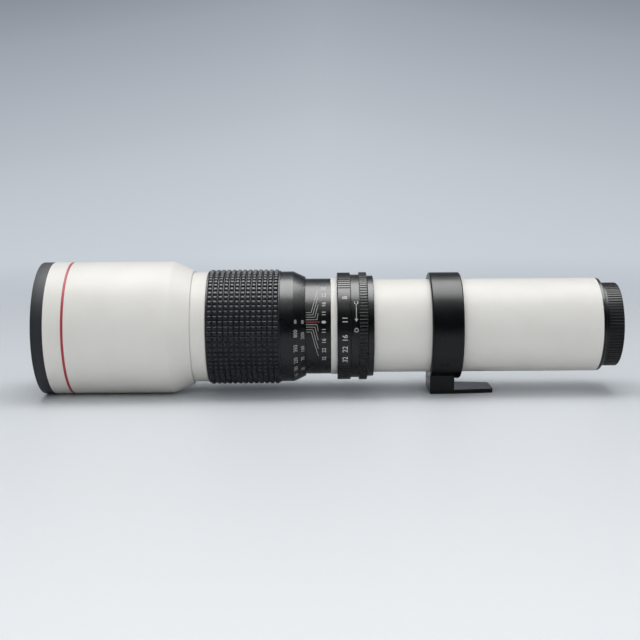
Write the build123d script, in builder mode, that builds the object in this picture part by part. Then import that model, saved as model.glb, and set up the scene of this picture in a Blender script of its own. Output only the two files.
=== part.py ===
from build123d import *
from math import asin, atan2, cos, degrees, hypot, radians, sin
import os

# Super telephoto prime lens, 500 mm at f/6.3, in millimetres.
# The optical axis is X, with +X towards the camera. The origin is the centre of the camera seat.
# +Z is up and the tripod foot points down. The scales face -Y.
# Angles about the axis are counted from +Y towards +Z, so that the scales are near 180 degrees.

# Fits
turn_gap = 0.06  # radial gap of a ring that turns on a sleeve
slide_gap = 0.05  # radial gap of a tube that slides in a sleeve
face_gap = 0.15  # gap between faces that move past each other
seat_gap = 0.02  # radial gap between pieces that are fixed to each other

# Optics
focal_length = 500.0
near_distance = 10000.0
focus_travel = focal_length**2 / (near_distance - focal_length)
full_stop = 6.3
smallest_stop = 32.0
rest_stop = 11.0
stops = (6.3, 8.0, 11.0, 16.0, 22.0, 32.0)

# Widths along the axis, from the camera seat to the front
register_height = 2.6
flange_width = 2.5
tube_length = 175.3
ring_retainer_width = 4.8
flute_band_width = 6.4
arrow_band_width = 6.5
preset_width = 10.5
white_band_width = 4.9
depth_band_width = 19.7
scale_bevel_width = 9.4
plain_band_width = 10.1
grip_width = 56.6
neck_width = 11.9
cone_width = 15.4
barrel_width = 94.0
rim_width = 9.4

# Outer radii
barrel_radius = 52.0
cone_end_radius = 44.8
neck_radius = 43.2
grip_radius = 45.2
grip_base_radius = 43.9
grip_seat_radius = 42.6
plain_band_radius = 43.5
scale_bevel_radius = 39.1
sleeve_radius = 37.7
white_band_radius = 38.1
preset_radius = 42.3
arrow_band_radius = 40.7
flute_band_radius = 42.5
ring_retainer_radius = 39.8
tube_radius = 36.7
flange_radius = 36.5
cap_radius = 32.9

# Stations along the axis
x_flange_rear = -register_height
x_flange_front = x_flange_rear - flange_width
x_tube_front = x_flange_front - tube_length
x_retainer_front = x_tube_front - ring_retainer_width
x_flute_front = x_retainer_front - flute_band_width
x_arrow_front = x_flute_front - arrow_band_width
x_preset_front = x_arrow_front - preset_width
x_white_front = x_preset_front - white_band_width
x_depth_front = x_white_front - depth_band_width
x_bevel_front = x_depth_front - scale_bevel_width
x_plain_front = x_bevel_front - plain_band_width
x_grip_front = x_plain_front - grip_width
x_neck_front = x_grip_front - neck_width
x_cone_front = x_neck_front - cone_width
x_barrel_front = x_cone_front - barrel_width
x_front = x_barrel_front - rim_width

# Front barrel and its glass
edge_break = 0.4  # chamfer on the edges of turned rings
fine_edge = 0.3
barrel_wall = 1.8
rim_edge = 1.0
filter_land = 4.5  # from the filter thread to the outside of the rim, which makes a 95 mm thread
filter_radius = barrel_radius - filter_land
filter_depth = 6.0
filter_lead_in = 0.8
rim_bore_step = 2.5
rim_bore_radius = filter_radius - rim_bore_step
rim_spigot_length = 6.0
front_glass_step = 0.55
front_glass_radius = rim_bore_radius - front_glass_step
front_glass_border = 2.65
front_clear_radius = front_glass_radius - front_glass_border
front_glass_edge = 4.1
front_glass_front_sag = 4.2
front_glass_rear_sag = 3.5
spacer_width = 1.0
second_glass_edge = 5.9
second_glass_front_sag = 3.6
second_glass_rear_sag = 1.5
front_ring_reach = 8.4
front_ring_flare = 0.6
front_ring_lip = 1.2
glass_recess = 11.6  # from the rim's inner step to the edge of the front glass
cell_shoulder = 6.0
front_baffle_steps = (1.8, 4.8)
front_baffle_radii = tuple(front_clear_radius - step for step in front_baffle_steps)
front_baffle_pitch = 26.0
baffle_plate = 0.8
baffle_skirt = 4.0

# Neck, slide tube and the bearing of the focus ring
neck_seat_length = 6.0
neck_spigot_radius = 41.5
journal_radius = 40.6
journal_length = 8.7
journal_bore_radius = 38.1
neck_web = 5.6
ring_capture_width = 1.8
ring_capture_radius = 41.6
slide_tube_wall = 1.6
slide_tube_reach = 92.6  # behind the front of its flange
slide_flange_width = 3.0
slide_flange_radius = 39.8
sleeve_bore_radius = 35.0
sleeve_lead = 3.9  # from the ring capture to the front of the focus sleeve
spigot_wall = 1.3
spigot_root = 2.0  # how far the spigot's bore runs into the sleeve
key_width = 5.0
key_length = 8.0
key_lead = 6.0
key_reach = 1.4
key_sink = 0.3

# Carrier with the preset and aperture rings
carrier_radius = 37.0
carrier_bore_radius = 35.52
carrier_spigot_length = 10.0
carrier_spigot_bore = 33.0
tube_wall = 1.7
ridge_pitch = 3.5  # degrees
ridge_depth = 0.45
ridge_radius = 0.62
preset_panel = (131.6, 219.7)  # start and end angle of the smooth panel for the numerals
flute_count = 100
flute_depth = 0.5
flute_rise = 0.3  # from the outside of the ring to the centres of its flutes
click_groove_width = 2.6
click_groove_depth = 0.6
click_notch_depth = 1.0
click_angle = 20.0
click_offset = 3.0  # from the front of the preset ring
ball_radius = 1.0
ball_rise = 0.4
spring_well_depth = 0.9
spring_wire = 0.12
spring_radius = 0.6
spring_turns = 3

# Iris
iris_open_radius = 20.7
blade_count = 8
blade_width = 10.4
blade_span = 112.0
blade_thickness = 0.22
blade_pitch = 0.3
pivot_offset = 1.1  # from the outer edge of the open blades to their pivots
pivot_pin_radius = 0.6
pivot_lobe_radius = 1.4
lever_length = 7.5
lever_start = 225.0  # direction of the levers of open blades, from the outward direction
lever_thickness = 0.6
lever_pin_radius = 0.5
lever_pin_gap = 0.2  # under the pin in its cam slot
lever_lobe_radius = 1.0
cam_clearance = 0.15
screw_edge_margin = 0.3  # metal left beside the drive screw's hole in the cam ring
cam_thickness = 3.4
cam_slot_depth = 1.5
cam_bore_radius = 22.0
stack_gap = 0.08  # gap between the layers of the iris
iris_plate = 1.2
iris_guard = 0.8
iris_rim_radius = 34.15
iris_retainer_width = 1.2
iris_retainer_bore = 30.0
closing_turn = 91.5  # degrees from full stop to smallest stop
drive_angle = -30.0
drive_slot_margin = 4.0  # degrees of slot past the drive screw at each end
drive_screw_radius = 0.7
drive_head_radius = 1.3
drive_head_height = 1.0
drive_screw_grip = 2.2

# Rear tube, rear glass and camera seat
tube_baffle_radii = (30.0, 28.5, 27.0)
tube_baffle_pitch = 40.0
end_ring_length = 12.0
end_ring_bore = 24.5
thread_radius = 21.0  # M42 x 0.75 camera thread
thread_length = 4.6
thread_lead_in = 0.4
mount_bore_radius = 18.8
register_radius = 30.8
flange_screw_circle = 27.4
screw_count = 4
first_screw_angle = 45.0
rear_cell_radius = 24.4
rear_cell_bore = 21.4
rear_cell_front_reach = 26.4
rear_cell_rear_reach = 9.0
rear_cell_flange_radius = 29.6
rear_cell_flange_width = 2.4
rear_glass_radius = 23.0
rear_glass_edge = 3.2
third_glass_front_sag = 2.4
third_glass_rear_sag = -1.6
fourth_glass_front_sag = -1.2
fourth_glass_rear_sag = 2.2
lock_ring_width = 1.6
lock_ring_bore = 21.6
lock_ring_sink = 0.4

# Tripod collar
collar_width = 24.2
collar_radius = 42.0
collar_offset = 109.4  # from the flange to the rear face of the collar
collar_edge = 0.8
liner_thickness = 0.5
liner_border = 1.0
pad_groove_depth = 0.3
pad_radius = 3.0
pad_thickness = 1.6
lock_travel = 1.2
lock_thread_radius = 2.0
lock_boss_radius = 6.5
lock_boss_height = 5.0
knob_radius = 8.5
knob_height = 10.0
knob_groove_count = 24
knob_groove_radius = 0.8
knob_groove_rise = 0.3
knob_stem_height = 2.0
knob_stem_radius = 5.0
foot_drop = barrel_radius  # the foot's sole is level with the bottom of the barrel
foot_overhang = 0.1
stem_length = 19.0
stem_width = 38.0
foot_length = 49.9
foot_end_width = 29.0
foot_thickness = 3.3
foot_edge = 0.5
foot_corner = 2.0
tripod_thread_radius = 3.175  # quarter inch tripod thread
bush_radius = 5.0
bush_gap = 2.0  # metal left between the bush and the collar
bush_height = barrel_radius - collar_radius - bush_gap
foot_screw_offset = 12.0
foot_screw_radius = 1.5
foot_screw_head_radius = 2.5
foot_screw_head_height = 2.0
foot_screw_length = 9.0

# Rear cap
cap_length = 14.3
cap_band = 2.9
cap_wall_end = 2.0
cap_edge = 1.0
cap_flute_count = 84
cap_flute_depth = 0.55
cap_flute_rise = 0.25
cap_dish_radius = 25.0
cap_dish_depth = 0.6

# Screws
small_screw_radius = 1.0
small_head_radius = 1.8
small_head_height = 0.8
tiny_screw_radius = 0.7
tiny_head_radius = 1.15
tiny_head_height = 0.7
slot_width = 0.4
slot_depth = 0.4
small_screw_grip = 5.0  # length of a small screw in the piece that holds it
tiny_screw_grip = 3.0
screw_head_sink = 0.3
over_cut = 1.0  # how far a cutting shape runs past the face it cuts

# Derived sizes that several pieces share
barrel_bore = barrel_radius - barrel_wall
tube_bore = tube_radius - tube_wall
slide_tube_radius = sleeve_bore_radius - slide_gap
slide_tube_bore = slide_tube_radius - slide_tube_wall
spigot_radius = carrier_bore_radius - seat_gap
spigot_bore = spigot_radius - spigot_wall
spring_floor = spigot_radius - spring_well_depth
blade_outer_radius = iris_open_radius + blade_width
pivot_radius = blade_outer_radius + pivot_offset
smallest_radius = iris_open_radius * full_stop / smallest_stop
blade_swing = 2 * degrees(asin((iris_open_radius - smallest_radius) / (2 * pivot_radius)))
blade_ratio = blade_swing / closing_turn
x_collar_rear = x_flange_rear - collar_offset
x_collar_front = x_collar_rear - collar_width
x_collar = (x_collar_rear + x_collar_front) / 2
x_drive = (x_arrow_front + x_flute_front) / 2
x_cam_front = x_drive - cam_thickness + drive_screw_radius + screw_edge_margin
x_cam_rear = x_cam_front + cam_thickness
x_levers = x_cam_front - stack_gap - lever_thickness
x_plate_front = x_levers - stack_gap - iris_plate
x_blades = x_plate_front - blade_count * blade_pitch
x_iris_front = x_blades - stack_gap - iris_guard
x_iris_rear = x_cam_rear + stack_gap + iris_retainer_width
x_click = x_preset_front + click_offset


def half_plane(angle):
    """Plane through the optical axis whose local y points outwards at the angle."""
    turn = radians(angle)
    return Plane(origin=(0, 0, 0), x_dir=(1, 0, 0), z_dir=(0, -sin(turn), cos(turn)))


def cross_plane(x):
    """Plane across the optical axis at station x, local x along +Y and local y along +Z."""
    return Plane(origin=(x, 0, 0), x_dir=(0, 1, 0), z_dir=(1, 0, 0))


def radial_plane(x, angle, radius):
    """Plane at station x whose normal points outwards at the angle, at that radius."""
    turn = radians(angle)
    out = (0, cos(turn), sin(turn))
    return Plane(origin=(x, radius * out[1], radius * out[2]), x_dir=(1, 0, 0), z_dir=out)


def outline(*corners, plane=Plane.XZ):
    """Face inside straight lines between (station, radius) corners."""
    with BuildSketch(plane) as face:
        with BuildLine():
            Polyline(*corners, close=True)
        make_face()
    return face.sketch


def band(x_0, x_1, inner, outer, edge=0.0, plane=Plane.XZ):
    """Half section of a ring, with its two outer edges broken."""
    return outline(
        (x_0, inner),
        (x_0, outer - edge),
        (x_0 + edge, outer),
        (x_1 - edge, outer),
        (x_1, outer - edge),
        (x_1, inner),
        plane=plane,
    ) if edge else outline((x_0, inner), (x_0, outer), (x_1, outer), (x_1, inner), plane=plane)


def lens_section(x_edge, edge_width, clear, rim, front_sag, rear_sag):
    """Half section of a lens. Its faces are arcs inside the clear radius and flat outside it."""
    x_back = x_edge + edge_width
    with BuildSketch(Plane.XZ) as section:
        with BuildLine():
            TangentArc((x_edge - front_sag, 0), (x_edge, clear), tangent=(0, 1))
            Polyline((x_edge, clear), (x_edge, rim), (x_back, rim), (x_back, clear))
            TangentArc((x_back + rear_sag, 0), (x_back, clear), tangent=(0, 1))
            Line((x_back + rear_sag, 0), (x_edge - front_sag, 0))
        make_face()
    return section.sketch


def screw_section(head_radius, head_height, radius, length):
    """Half section of a screw along its own Y, head top at zero and tip at -length."""
    with BuildSketch(Plane.XY) as section:
        with BuildLine():
            Polyline(
                (0, 0),
                (head_radius, 0),
                (head_radius, -head_height),
                (radius, -head_height),
                (radius, -length),
                (0, -length),
                close=True,
            )
        make_face()
    return section.sketch


def slotted_screw(head_radius, head_height, radius, length):
    """Screw with a slotted head, standing along Z with its head's top at the origin."""
    with BuildPart() as screw:
        revolve(Rot(90, 0, 0) * screw_section(head_radius, head_height, radius, length), axis=Axis.Z)
        with Locations((0, 0, -slot_depth / 2)):
            Box(2 * head_radius, slot_width, slot_depth, mode=Mode.SUBTRACT)
    return screw.part


def save(piece, name):
    """Names a finished piece and writes it."""
    piece.part.label = name
    export_step(piece.part, f"parts/{name}.step")


os.makedirs("parts", exist_ok=True)

# Front rim, with the filter thread, screwed into the barrel
x_filter_end = x_front + filter_lead_in + filter_depth
with BuildPart() as front_rim:
    with BuildSketch(Plane.XZ):
        with BuildLine():
            Polyline(
                (x_front, barrel_radius - rim_edge),
                (x_front, filter_radius + filter_lead_in),
                (x_front + filter_lead_in, filter_radius),
                (x_filter_end, filter_radius),
                (x_filter_end, rim_bore_radius),
                (x_barrel_front + rim_spigot_length, rim_bore_radius),
                (x_barrel_front + rim_spigot_length, barrel_bore - seat_gap),
                (x_barrel_front, barrel_bore - seat_gap),
                (x_barrel_front, barrel_radius),
                (x_front + rim_edge, barrel_radius),
            )
            RadiusArc((x_front + rim_edge, barrel_radius), (x_front, barrel_radius - rim_edge), -rim_edge)
        make_face()
    revolve(axis=Axis.X)
save(front_rim, "front_rim")

# Front barrel, a thin white shell from the rim to the foot of the cone
x_seat_front = x_neck_front - neck_seat_length
cone_slope = (barrel_radius - cone_end_radius) / cone_width
seat_inner_radius = cone_end_radius + cone_slope * neck_seat_length - barrel_wall
with BuildPart() as front_barrel:
    revolve(
        outline(
            (x_barrel_front, barrel_bore),
            (x_barrel_front, barrel_radius),
            (x_cone_front, barrel_radius),
            (x_neck_front, cone_end_radius),
            (x_neck_front, neck_spigot_radius),
            (x_seat_front, neck_spigot_radius),
            (x_seat_front, seat_inner_radius),
            (x_cone_front, barrel_bore),
        ),
        axis=Axis.X,
    )
save(front_barrel, "front_barrel")

# Barrel neck, which carries the slide tube and is the bearing of the focus ring
x_web_rear = x_neck_front + neck_web
x_journal_rear = x_grip_front + journal_length
screw_hole_circle = (slide_tube_radius + neck_spigot_radius) / 2
with BuildPart() as barrel_neck:
    revolve(
        outline(
            (x_seat_front, slide_tube_radius + seat_gap),
            (x_seat_front, neck_spigot_radius - seat_gap),
            (x_neck_front, neck_spigot_radius - seat_gap),
            (x_neck_front, neck_radius - edge_break),
            (x_neck_front + edge_break, neck_radius),
            (x_grip_front - edge_break, neck_radius),
            (x_grip_front, neck_radius - edge_break),
            (x_grip_front, journal_radius),
            (x_journal_rear, journal_radius),
            (x_journal_rear, journal_bore_radius),
            (x_web_rear, journal_bore_radius),
            (x_web_rear, slide_tube_radius + seat_gap),
        ),
        axis=Axis.X,
    )
    with BuildSketch(cross_plane(x_seat_front)):
        with PolarLocations(screw_hole_circle, screw_count, start_angle=first_screw_angle):
            Circle(small_screw_radius + seat_gap)
    extrude(amount=neck_seat_length, mode=Mode.SUBTRACT)
    capture_hole_circle = (journal_bore_radius + journal_radius) / 2
    with BuildSketch(cross_plane(x_journal_rear)):
        with PolarLocations(capture_hole_circle, 3, start_angle=90):
            Circle(tiny_screw_radius + seat_gap)
    extrude(amount=-tiny_screw_grip - over_cut, mode=Mode.SUBTRACT)
save(barrel_neck, "barrel_neck")

# Slide tube, screwed to the neck and guided in the focus sleeve
x_slide_flange = x_seat_front - slide_flange_width
x_slide_rear = x_slide_flange + slide_tube_reach
x_sleeve_front = x_journal_rear + ring_capture_width + sleeve_lead
x_key = x_sleeve_front + key_lead + key_length / 2
slot_front = x_key - key_length / 2 - face_gap
slot_rear = x_key + key_length / 2 + focus_travel + face_gap
with BuildPart() as slide_tube:
    revolve(
        outline(
            (x_slide_flange, slide_tube_bore),
            (x_slide_flange, slide_flange_radius),
            (x_seat_front, slide_flange_radius),
            (x_seat_front, slide_tube_radius),
            (x_slide_rear, slide_tube_radius),
            (x_slide_rear, slide_tube_bore),
        ),
        axis=Axis.X,
    )
    with BuildSketch(cross_plane(x_slide_flange)):
        with PolarLocations(screw_hole_circle, screw_count, start_angle=first_screw_angle):
            Circle(small_screw_radius + seat_gap)
    extrude(amount=slide_flange_width, mode=Mode.SUBTRACT)
    with BuildSketch(Plane.XY.offset(-slide_tube_bore + over_cut)):
        with Locations(((slot_front + slot_rear) / 2, 0)):
            Rectangle(slot_rear - slot_front, key_width + 2 * slide_gap)
    extrude(amount=-slide_tube_wall - 2 * over_cut, mode=Mode.SUBTRACT)
save(slide_tube, "slide_tube")

# Screws of the slide tube, four
slide_screw = slotted_screw(
    small_head_radius,
    small_head_height,
    small_screw_radius,
    small_head_height + slide_flange_width + small_screw_grip,
)
with BuildPart() as slide_tube_screws:
    with Locations(cross_plane(x_slide_flange - small_head_height)):
        with PolarLocations(screw_hole_circle, screw_count, start_angle=first_screw_angle):
            add(Rot(180, 0, 0) * slide_screw)
save(slide_tube_screws, "slide_tube_screws")

# Ring behind the focus ring's bearing, which keeps it on the neck
with BuildPart() as focus_ring_capture:
    revolve(
        band(x_journal_rear, x_journal_rear + ring_capture_width, journal_bore_radius, ring_capture_radius),
        axis=Axis.X,
    )
    with BuildSketch(cross_plane(x_journal_rear)):
        with PolarLocations(capture_hole_circle, 3, start_angle=90):
            Circle(tiny_screw_radius + seat_gap)
    extrude(amount=ring_capture_width, mode=Mode.SUBTRACT)
save(focus_ring_capture, "focus_ring_capture")

capture_screw = slotted_screw(
    tiny_head_radius,
    tiny_head_height,
    tiny_screw_radius,
    tiny_head_height + ring_capture_width + tiny_screw_grip,
)
with BuildPart() as capture_screws:
    with Locations(cross_plane(x_journal_rear + ring_capture_width + tiny_head_height)):
        with PolarLocations(capture_hole_circle, 3, start_angle=90):
            add(capture_screw)
save(capture_screws, "capture_screws")

# Objective cell with the two front lenses
x_glass = x_filter_end + glass_recess
x_spacer = x_glass + front_glass_edge
x_second = x_spacer + spacer_width
x_second_rear = x_second + second_glass_edge
x_cell_front = x_barrel_front + rim_spigot_length
x_cell_rear = x_second_rear + cell_shoulder
with BuildPart() as objective_cell:
    revolve(
        outline(
            (x_cell_front, front_glass_radius + slide_gap),
            (x_cell_front, barrel_bore - seat_gap),
            (x_cell_rear, barrel_bore - seat_gap),
            (x_cell_rear, front_clear_radius),
            (x_second_rear, front_clear_radius),
            (x_second_rear, front_glass_radius + slide_gap),
        ),
        axis=Axis.X,
    )
save(objective_cell, "objective_cell")

with BuildPart() as front_lens:
    revolve(
        lens_section(
            x_glass,
            front_glass_edge,
            front_clear_radius,
            front_glass_radius,
            front_glass_front_sag,
            front_glass_rear_sag,
        ),
        axis=Axis.X,
    )
save(front_lens, "front_lens")

with BuildPart() as lens_spacer:
    revolve(band(x_spacer, x_second, front_clear_radius + seat_gap, front_glass_radius), axis=Axis.X)
save(lens_spacer, "lens_spacer")

with BuildPart() as second_lens:
    revolve(
        lens_section(
            x_second,
            second_glass_edge,
            front_clear_radius,
            front_glass_radius,
            -second_glass_front_sag,
            second_glass_rear_sag,
        ),
        axis=Axis.X,
    )
save(second_lens, "second_lens")

# Front ring, a funnel that holds the front lens in its cell
x_ring_front = x_glass - front_ring_reach
with BuildPart() as front_ring:
    revolve(
        outline(
            (x_filter_end, rim_bore_radius - seat_gap),
            (x_cell_front, rim_bore_radius - seat_gap),
            (x_cell_front, front_glass_radius),
            (x_glass, front_glass_radius),
            (x_glass, front_clear_radius),
            (x_ring_front, front_clear_radius + front_ring_flare),
            (x_filter_end, rim_bore_radius - front_ring_lip),
        ),
        axis=Axis.X,
    )
save(front_ring, "front_ring")

# Stray light baffles in the front barrel
for number, opening in enumerate(front_baffle_radii, start=1):
    x_baffle = x_cell_rear + number * front_baffle_pitch - front_baffle_pitch / 2
    with BuildPart() as front_baffle:
        revolve(
            outline(
                (x_baffle, opening),
                (x_baffle, barrel_bore - seat_gap),
                (x_baffle + baffle_skirt, barrel_bore - seat_gap),
                (x_baffle + baffle_skirt, barrel_bore - seat_gap - baffle_plate),
                (x_baffle + baffle_plate, barrel_bore - seat_gap - baffle_plate),
                (x_baffle + baffle_plate, opening),
            ),
            axis=Axis.X,
        )
    save(front_baffle, f"front_baffle_{number}")

# Focus ring, with the bevel that carries the distance scale
x_ring_face = x_grip_front + face_gap
x_ring_step = x_journal_rear - face_gap
x_ring_pocket = x_journal_rear + ring_capture_width + tiny_head_height + 2 * face_gap
with BuildPart() as focus_ring:
    revolve(
        outline(
            (x_ring_face, journal_radius + turn_gap),
            (x_ring_face, grip_seat_radius),
            (x_plain_front, grip_seat_radius),
            (x_plain_front, plain_band_radius),
            (x_bevel_front, plain_band_radius),
            (x_depth_front, scale_bevel_radius),
            (x_depth_front, sleeve_radius + turn_gap),
            (x_ring_pocket, sleeve_radius + turn_gap),
            (x_ring_pocket, ring_capture_radius + face_gap),
            (x_ring_step, ring_capture_radius + face_gap),
            (x_ring_step, journal_radius + turn_gap),
        ),
        axis=Axis.X,
    )
save(focus_ring, "focus_ring")

# Rubber grip, with its raised rows
grip_rows = 13
grip_border = 1.0
row_pitch = (grip_width - 2 * grip_border) / grip_rows
row_groove = 1.2
with BuildPart() as grip_sleeve:
    revolve(
        band(x_grip_front + face_gap, x_plain_front, grip_seat_radius, grip_base_radius), axis=Axis.X
    )
    for row in range(grip_rows):
        row_front = x_grip_front + grip_border + row * row_pitch + row_groove / 2
        row_rear = row_front + row_pitch - row_groove
        revolve(band(row_front, row_rear, grip_base_radius, grip_radius), axis=Axis.X)
save(grip_sleeve, "grip_sleeve")

# Focus sleeve, fixed, with the depth of field scale on its bare part
with BuildPart() as focus_sleeve:
    revolve(
        outline(
            (x_sleeve_front, sleeve_bore_radius),
            (x_sleeve_front, sleeve_radius - edge_break),
            (x_sleeve_front + edge_break, sleeve_radius),
            (x_white_front, sleeve_radius),
            (x_white_front, spigot_radius),
            (x_iris_front, spigot_radius),
            (x_iris_front, spigot_bore),
            (x_white_front - spigot_root, spigot_bore),
            (x_white_front - spigot_root, sleeve_bore_radius),
        ),
        axis=Axis.X,
    )
    with BuildSketch(Plane.XY.offset(-sleeve_bore_radius + key_reach)):
        with Locations((x_key, 0)):
            Rectangle(key_length + 2 * seat_gap, key_width + 2 * seat_gap)
    extrude(amount=sleeve_bore_radius - key_reach - sleeve_radius - over_cut, mode=Mode.SUBTRACT)
    with BuildSketch(radial_plane(x_click, click_angle, spring_floor)):
        Circle(ball_radius + turn_gap)
    extrude(amount=spring_well_depth + over_cut, mode=Mode.SUBTRACT)
save(focus_sleeve, "focus_sleeve")

# Guide key, which keeps the front barrel from turning and stops its travel
with BuildPart() as focus_key:
    with BuildSketch(Plane.XY.offset(-sleeve_bore_radius + key_reach)):
        with Locations((x_key, 0)):
            Rectangle(key_length, key_width)
    extrude(amount=-(sleeve_radius - key_sink - sleeve_bore_radius + key_reach))
save(focus_key, "focus_key")

# White band between the depth of field scale and the preset ring
with BuildPart() as white_band:
    revolve(
        band(x_white_front, x_preset_front, spigot_radius + seat_gap, white_band_radius, fine_edge),
        axis=Axis.X,
    )
save(white_band, "white_band")

# Carrier, the fixed tube on which the preset and aperture rings turn
drive_slot = band(
    x_drive - drive_screw_radius - face_gap,
    x_drive + drive_screw_radius + face_gap,
    iris_rim_radius - over_cut,
    carrier_radius + over_cut,
    plane=half_plane(drive_angle - drive_slot_margin),
)
drive_slot_arc = closing_turn + 2 * drive_slot_margin
with BuildPart() as ring_carrier:
    revolve(
        outline(
            (x_preset_front, carrier_bore_radius),
            (x_preset_front, carrier_radius),
            (x_tube_front, carrier_radius),
            (x_tube_front, tube_bore - seat_gap),
            (x_tube_front + carrier_spigot_length, tube_bore - seat_gap),
            (x_tube_front + carrier_spigot_length, carrier_spigot_bore),
            (x_iris_rear, carrier_spigot_bore),
            (x_iris_rear, carrier_bore_radius),
        ),
        axis=Axis.X,
    )
    revolve(drive_slot, axis=Axis.X, revolution_arc=drive_slot_arc, mode=Mode.SUBTRACT)
    with BuildSketch(radial_plane(x_click, click_angle, spring_floor)):
        Circle(ball_radius + turn_gap)
    extrude(amount=carrier_radius + over_cut - spring_floor, mode=Mode.SUBTRACT)
save(ring_carrier, "ring_carrier")

# Click ball and its spring under the preset ring
ball_centre = carrier_radius + ball_rise - ball_radius
with BuildPart() as click_ball:
    with Locations(radial_plane(x_click, click_angle, ball_centre)):
        Sphere(ball_radius)
save(click_ball, "click_ball")

spring_base = spring_floor + spring_wire
spring_top = ball_centre - (ball_radius**2 - spring_radius**2) ** 0.5 - 2 * spring_wire
with BuildPart(radial_plane(x_click, click_angle, spring_base)) as click_spring:
    with BuildLine():
        coil = Helix((spring_top - spring_base) / spring_turns, spring_top - spring_base, spring_radius)
    with BuildSketch(Plane(origin=coil @ 0, z_dir=coil % 0)):
        Circle(spring_wire)
    sweep(path=coil)
save(click_spring, "click_spring")


def stop_turn(stop):
    """Turn of the rings in degrees from full opening to the stop."""
    closing = iris_open_radius * (1 - full_stop / stop)
    return 2 * degrees(asin(closing / (2 * pivot_radius))) / blade_ratio


# Preset ring, ridged outside the panel that carries its numerals
ridge_count = round((360 - (preset_panel[1] - preset_panel[0])) / ridge_pitch)
with BuildPart() as preset_ring:
    revolve(
        band(
            x_preset_front + face_gap,
            x_arrow_front - face_gap / 2,
            carrier_radius + turn_gap,
            preset_radius,
            edge_break,
        ),
        axis=Axis.X,
    )
    with BuildSketch(cross_plane(x_preset_front)):
        with PolarLocations(
            preset_radius + ridge_radius - ridge_depth,
            ridge_count,
            start_angle=preset_panel[1],
            angular_range=(ridge_count - 1) * ridge_pitch,
            endpoint=True,
        ):
            Circle(ridge_radius)
    extrude(amount=preset_width, mode=Mode.SUBTRACT)
    revolve(
        band(
            x_click - click_groove_width / 2,
            x_click + click_groove_width / 2,
            carrier_radius - over_cut,
            carrier_radius + turn_gap + click_groove_depth,
        ),
        axis=Axis.X,
        mode=Mode.SUBTRACT,
    )
    for stop in stops:
        notch_angle = click_angle + stop_turn(stop) - stop_turn(rest_stop)
        with BuildSketch(radial_plane(x_click, notch_angle, carrier_radius)):
            Circle(ball_radius)
        extrude(amount=turn_gap + click_notch_depth, mode=Mode.SUBTRACT)
save(preset_ring, "preset_ring")

# Aperture ring, with its arrow band and its fluted grip
drive_head_top = arrow_band_radius - screw_head_sink
with BuildPart() as aperture_ring:
    revolve(
        outline(
            (x_arrow_front + face_gap / 2, carrier_radius + turn_gap),
            (x_arrow_front + face_gap / 2, arrow_band_radius),
            (x_flute_front, arrow_band_radius),
            (x_flute_front, flute_band_radius - edge_break),
            (x_flute_front + edge_break, flute_band_radius),
            (x_retainer_front - face_gap - edge_break, flute_band_radius),
            (x_retainer_front - face_gap, flute_band_radius - edge_break),
            (x_retainer_front - face_gap, carrier_radius + turn_gap),
        ),
        axis=Axis.X,
    )
    with BuildSketch(cross_plane(x_flute_front)):
        with PolarLocations(flute_band_radius + flute_rise, flute_count):
            Circle(flute_rise + flute_depth)
    extrude(amount=flute_band_width, mode=Mode.SUBTRACT)
    with BuildSketch(radial_plane(x_drive, drive_angle, carrier_radius - over_cut)):
        Circle(drive_screw_radius + seat_gap)
    extrude(amount=drive_head_top - carrier_radius + over_cut, mode=Mode.SUBTRACT)
    with BuildSketch(radial_plane(x_drive, drive_angle, drive_head_top - drive_head_height)):
        Circle(drive_head_radius + seat_gap)
    extrude(amount=drive_head_height + screw_head_sink + over_cut, mode=Mode.SUBTRACT)
save(aperture_ring, "aperture_ring")

# Screw that joins the aperture ring to the cam ring inside
drive_screw_tip = iris_rim_radius - drive_screw_grip
with BuildPart() as drive_screw:
    with Locations(radial_plane(x_drive, drive_angle, drive_head_top)):
        add(
            slotted_screw(
                drive_head_radius, drive_head_height, drive_screw_radius, drive_head_top - drive_screw_tip
            )
        )
save(drive_screw, "drive_screw")

# Black ring that keeps the two rings on the carrier
with BuildPart() as ring_retainer:
    revolve(
        band(x_retainer_front, x_tube_front, carrier_radius + seat_gap, ring_retainer_radius, edge_break),
        axis=Axis.X,
    )
save(ring_retainer, "ring_retainer")

# Iris housing, with a web between the blades and the cam ring that their shafts pass through
with BuildPart() as iris_housing:
    revolve(
        outline(
            (x_iris_front, iris_rim_radius),
            (x_iris_front, carrier_bore_radius - seat_gap),
            (x_iris_rear, carrier_bore_radius - seat_gap),
            (x_iris_rear, iris_rim_radius),
            (x_plate_front + iris_plate, iris_rim_radius),
            (x_plate_front + iris_plate, iris_open_radius),
            (x_plate_front, iris_open_radius),
            (x_plate_front, iris_rim_radius),
        ),
        axis=Axis.X,
    )
    with BuildSketch(cross_plane(x_plate_front)):
        with PolarLocations(pivot_radius, blade_count):
            Circle(pivot_pin_radius + turn_gap)
    extrude(amount=iris_plate, mode=Mode.SUBTRACT)
    revolve(drive_slot, axis=Axis.X, revolution_arc=drive_slot_arc, mode=Mode.SUBTRACT)
save(iris_housing, "iris_housing")

# Ring in front of the blades
with BuildPart() as iris_guard_ring:
    revolve(
        band(x_iris_front, x_iris_front + iris_guard, iris_open_radius, iris_rim_radius - seat_gap),
        axis=Axis.X,
    )
save(iris_guard_ring, "iris_guard_ring")


def lever_position(swing):
    """Radius and angle of a blade's lever pin, from its pivot's angle, after a swing in degrees."""
    turn = radians(lever_start + swing)
    out = pivot_radius + lever_length * cos(turn)
    side = lever_length * sin(turn)
    return hypot(out, side), degrees(atan2(side, out))


def slot_point(swing, pivot_angle):
    """Place of a lever pin on the cam ring, for the blade whose pivot stands at the angle."""
    radius, angle = lever_position(swing)
    turned = radians(pivot_angle + angle - swing / blade_ratio)
    return radius * cos(turned), radius * sin(turned)


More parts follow.
